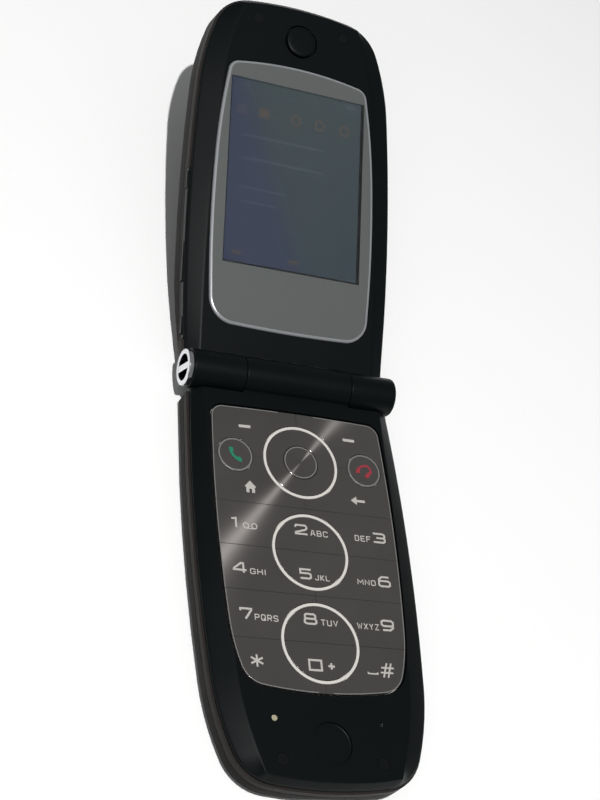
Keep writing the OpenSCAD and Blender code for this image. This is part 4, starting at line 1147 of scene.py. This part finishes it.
make("idle_picture", on_lid, box(-16.9, 16.9, 27.3, 72.7, PICTURE - 0.006, PICTURE), picture_ground, "lid")
lines = [bar(-13.5, 7.5, 58.3, 58.9), bar(-13.5, 7.5, 52.6, 53.2), bar(-13.5, -2.0, 45.4, 45.9),
         bar(-13.5, -4.5, 41.9, 42.4), bar(-16.4, 16.4, 69.8, 69.92, 0.05), bar(12.8, 15.4, 70.7, 71.8, 0.2)]
for i in range(4):
    left = -15.4 + SIGNAL_BAR_STEP * i
    lines.append(bar(left, left + 0.45, 70.7, 71.0 + 0.25 * i, 0.05))
make("idle_picture_lines", on_lid, joined(*lines), picture_line, "lid")
icons = [hoop(x, ICON_ROW, 0.85, 1.45, PICTURE, PICTURE_TOP, 32) for x in (-0.2, 6.0, 12.6)]
icons += [bar(-9.9, -7.1, ICON_ROW - 1.2, ICON_ROW + 1.2, 0.5),
          bar(-15.0, -12.6, 29.1, 29.9), bar(-0.6, 1.8, 29.1, 29.9)]
make("idle_picture_icons", on_lid, joined(*icons), picture_icon, "lid")
make("idle_picture_mark", on_lid, bar(-15.4, -12.8, ICON_ROW - 1.2, ICON_ROW + 1.2, 0.5), picture_mark, "lid")

# Round earpiece disc with a soft crown: (radius, height over the lid's face)
EAR_PROFILE = [(0, -0.95), (3.75, -0.95), (3.75, 0.28), (3.68, 0.38), (3.5, 0.44), (2.5, 0.48),
               (1.2, 0.495), (0, 0.5)]
ear_disc = turned([(r, LID_FACE + h) for r, h in EAR_PROFILE])
make("earpiece_cap", on_lid, moved(ear_disc, 0, EAR), soft_touch, "lid", ["earpiece_disc"])


# ------------------------------------------------------------- hinge ends

# Domed plug in the barrel's right end: (radius, place along the axis, radius of the corner)
dome = rounded([(0, BARREL_RIGHT, 0), (4.4, BARREL_RIGHT, 0), (4.38, 25.05, 0.1), (3.6, 25.36, 0.5),
                (0, 25.4, 0)], 6)
make("hinge_end_dome", on_lid, along_x(turned(dome, 128)), soft_touch, "lid",
     ["hinge_end_cap"])
# Plated ring at the left end, with the bar that a strap loops round
strap_ring = rounded([(3.0, -25.95, 0.15), (4.15, -25.95, 0.3), (4.15, -24.75, 0.2), (3.0, -24.75, 0.1)])
crossbar = box(-25.9, -24.8, -0.75, 0.75, -3.05, 3.05)
make("strap_loop", on_lid, joined(along_x(turned(strap_ring, 128)), crossbar), polished_chrome, "lid",
     ["strap_ring"], ease=0.12)


# ------------------------------------------------------------ scene round it

# Places and sizes of the floor and the lamps are in metres
FLOOR_REACH = 3.0
floor_mesh = bpy.data.meshes.new("floor")
floor_corners = [(x * FLOOR_REACH, y * FLOOR_REACH, 0) for x, y in ((-1, -1), (1, -1), (1, 1), (-1, 1))]
floor_mesh.from_pydata(floor_corners, [], [(0, 1, 2, 3)])
floor = bpy.data.objects.new("floor", floor_mesh)
bpy.context.scene.collection.objects.link(floor)
floor.data.materials.append(plain("pale matt board", "#f6f6f5", {"Roughness": 0.9, "Specular IOR Level": 0.1},
                                  0.8, 0.0, 0.01))


def lamp(name, shape, size, place, power):
    """An area lamp that faces the frame's origin."""
    data = bpy.data.lights.new(name, "AREA")
    data.shape = shape
    data.size = size
    data.energy = power
    light = bpy.data.objects.new(name, data)
    light.location = place
    light.rotation_mode = "QUATERNION"
    light.rotation_quaternion = (-Vector(place)).to_track_quat("-Z", "Y")
    bpy.context.scene.collection.objects.link(light)


lamp("overhead lamp", "DISK", 0.022, (-0.147, -0.205, 0.96), 8.8)
lamp("front softbox", "SQUARE", 0.7, (-0.72, -0.96, 0.85), 1.2)

world = bpy.data.worlds.new("studio")
world.use_nodes = True
world.node_tree.nodes.clear()
sky = add(world.node_tree, "Background", {}, {"Color": linear("#e6e8ea"), "Strength": 0.23})
add(world.node_tree, "OutputWorld", {}, {"Surface": sky.outputs[0]})
bpy.context.scene.world = world
bpy.context.scene.view_settings.view_transform = "Standard"

# Camera: its place and its three axes come from solving the view, in mm from the hinge axis
camera_data = bpy.data.cameras.new("camera")
camera_data.lens = 71.775
camera_data.sensor_width = 36.0
camera_data.clip_start = 0.01
camera_data.clip_end = 20.0
camera = bpy.data.objects.new("camera", camera_data)
right = Vector((0.904947, -0.097891, 0.414110))
down = Vector((0.133957, -0.858162, -0.495594))
ahead = Vector((0.403888, 0.503960, -0.763478))
stand = (Vector((-143.599, -185.958, 275.494)) + HINGE) * MM
turn = Matrix((right, -down, -ahead)).transposed().to_4x4()
camera.matrix_world = Matrix.Translation(stand) @ turn
bpy.context.scene.collection.objects.link(camera)
bpy.context.scene.camera = camera
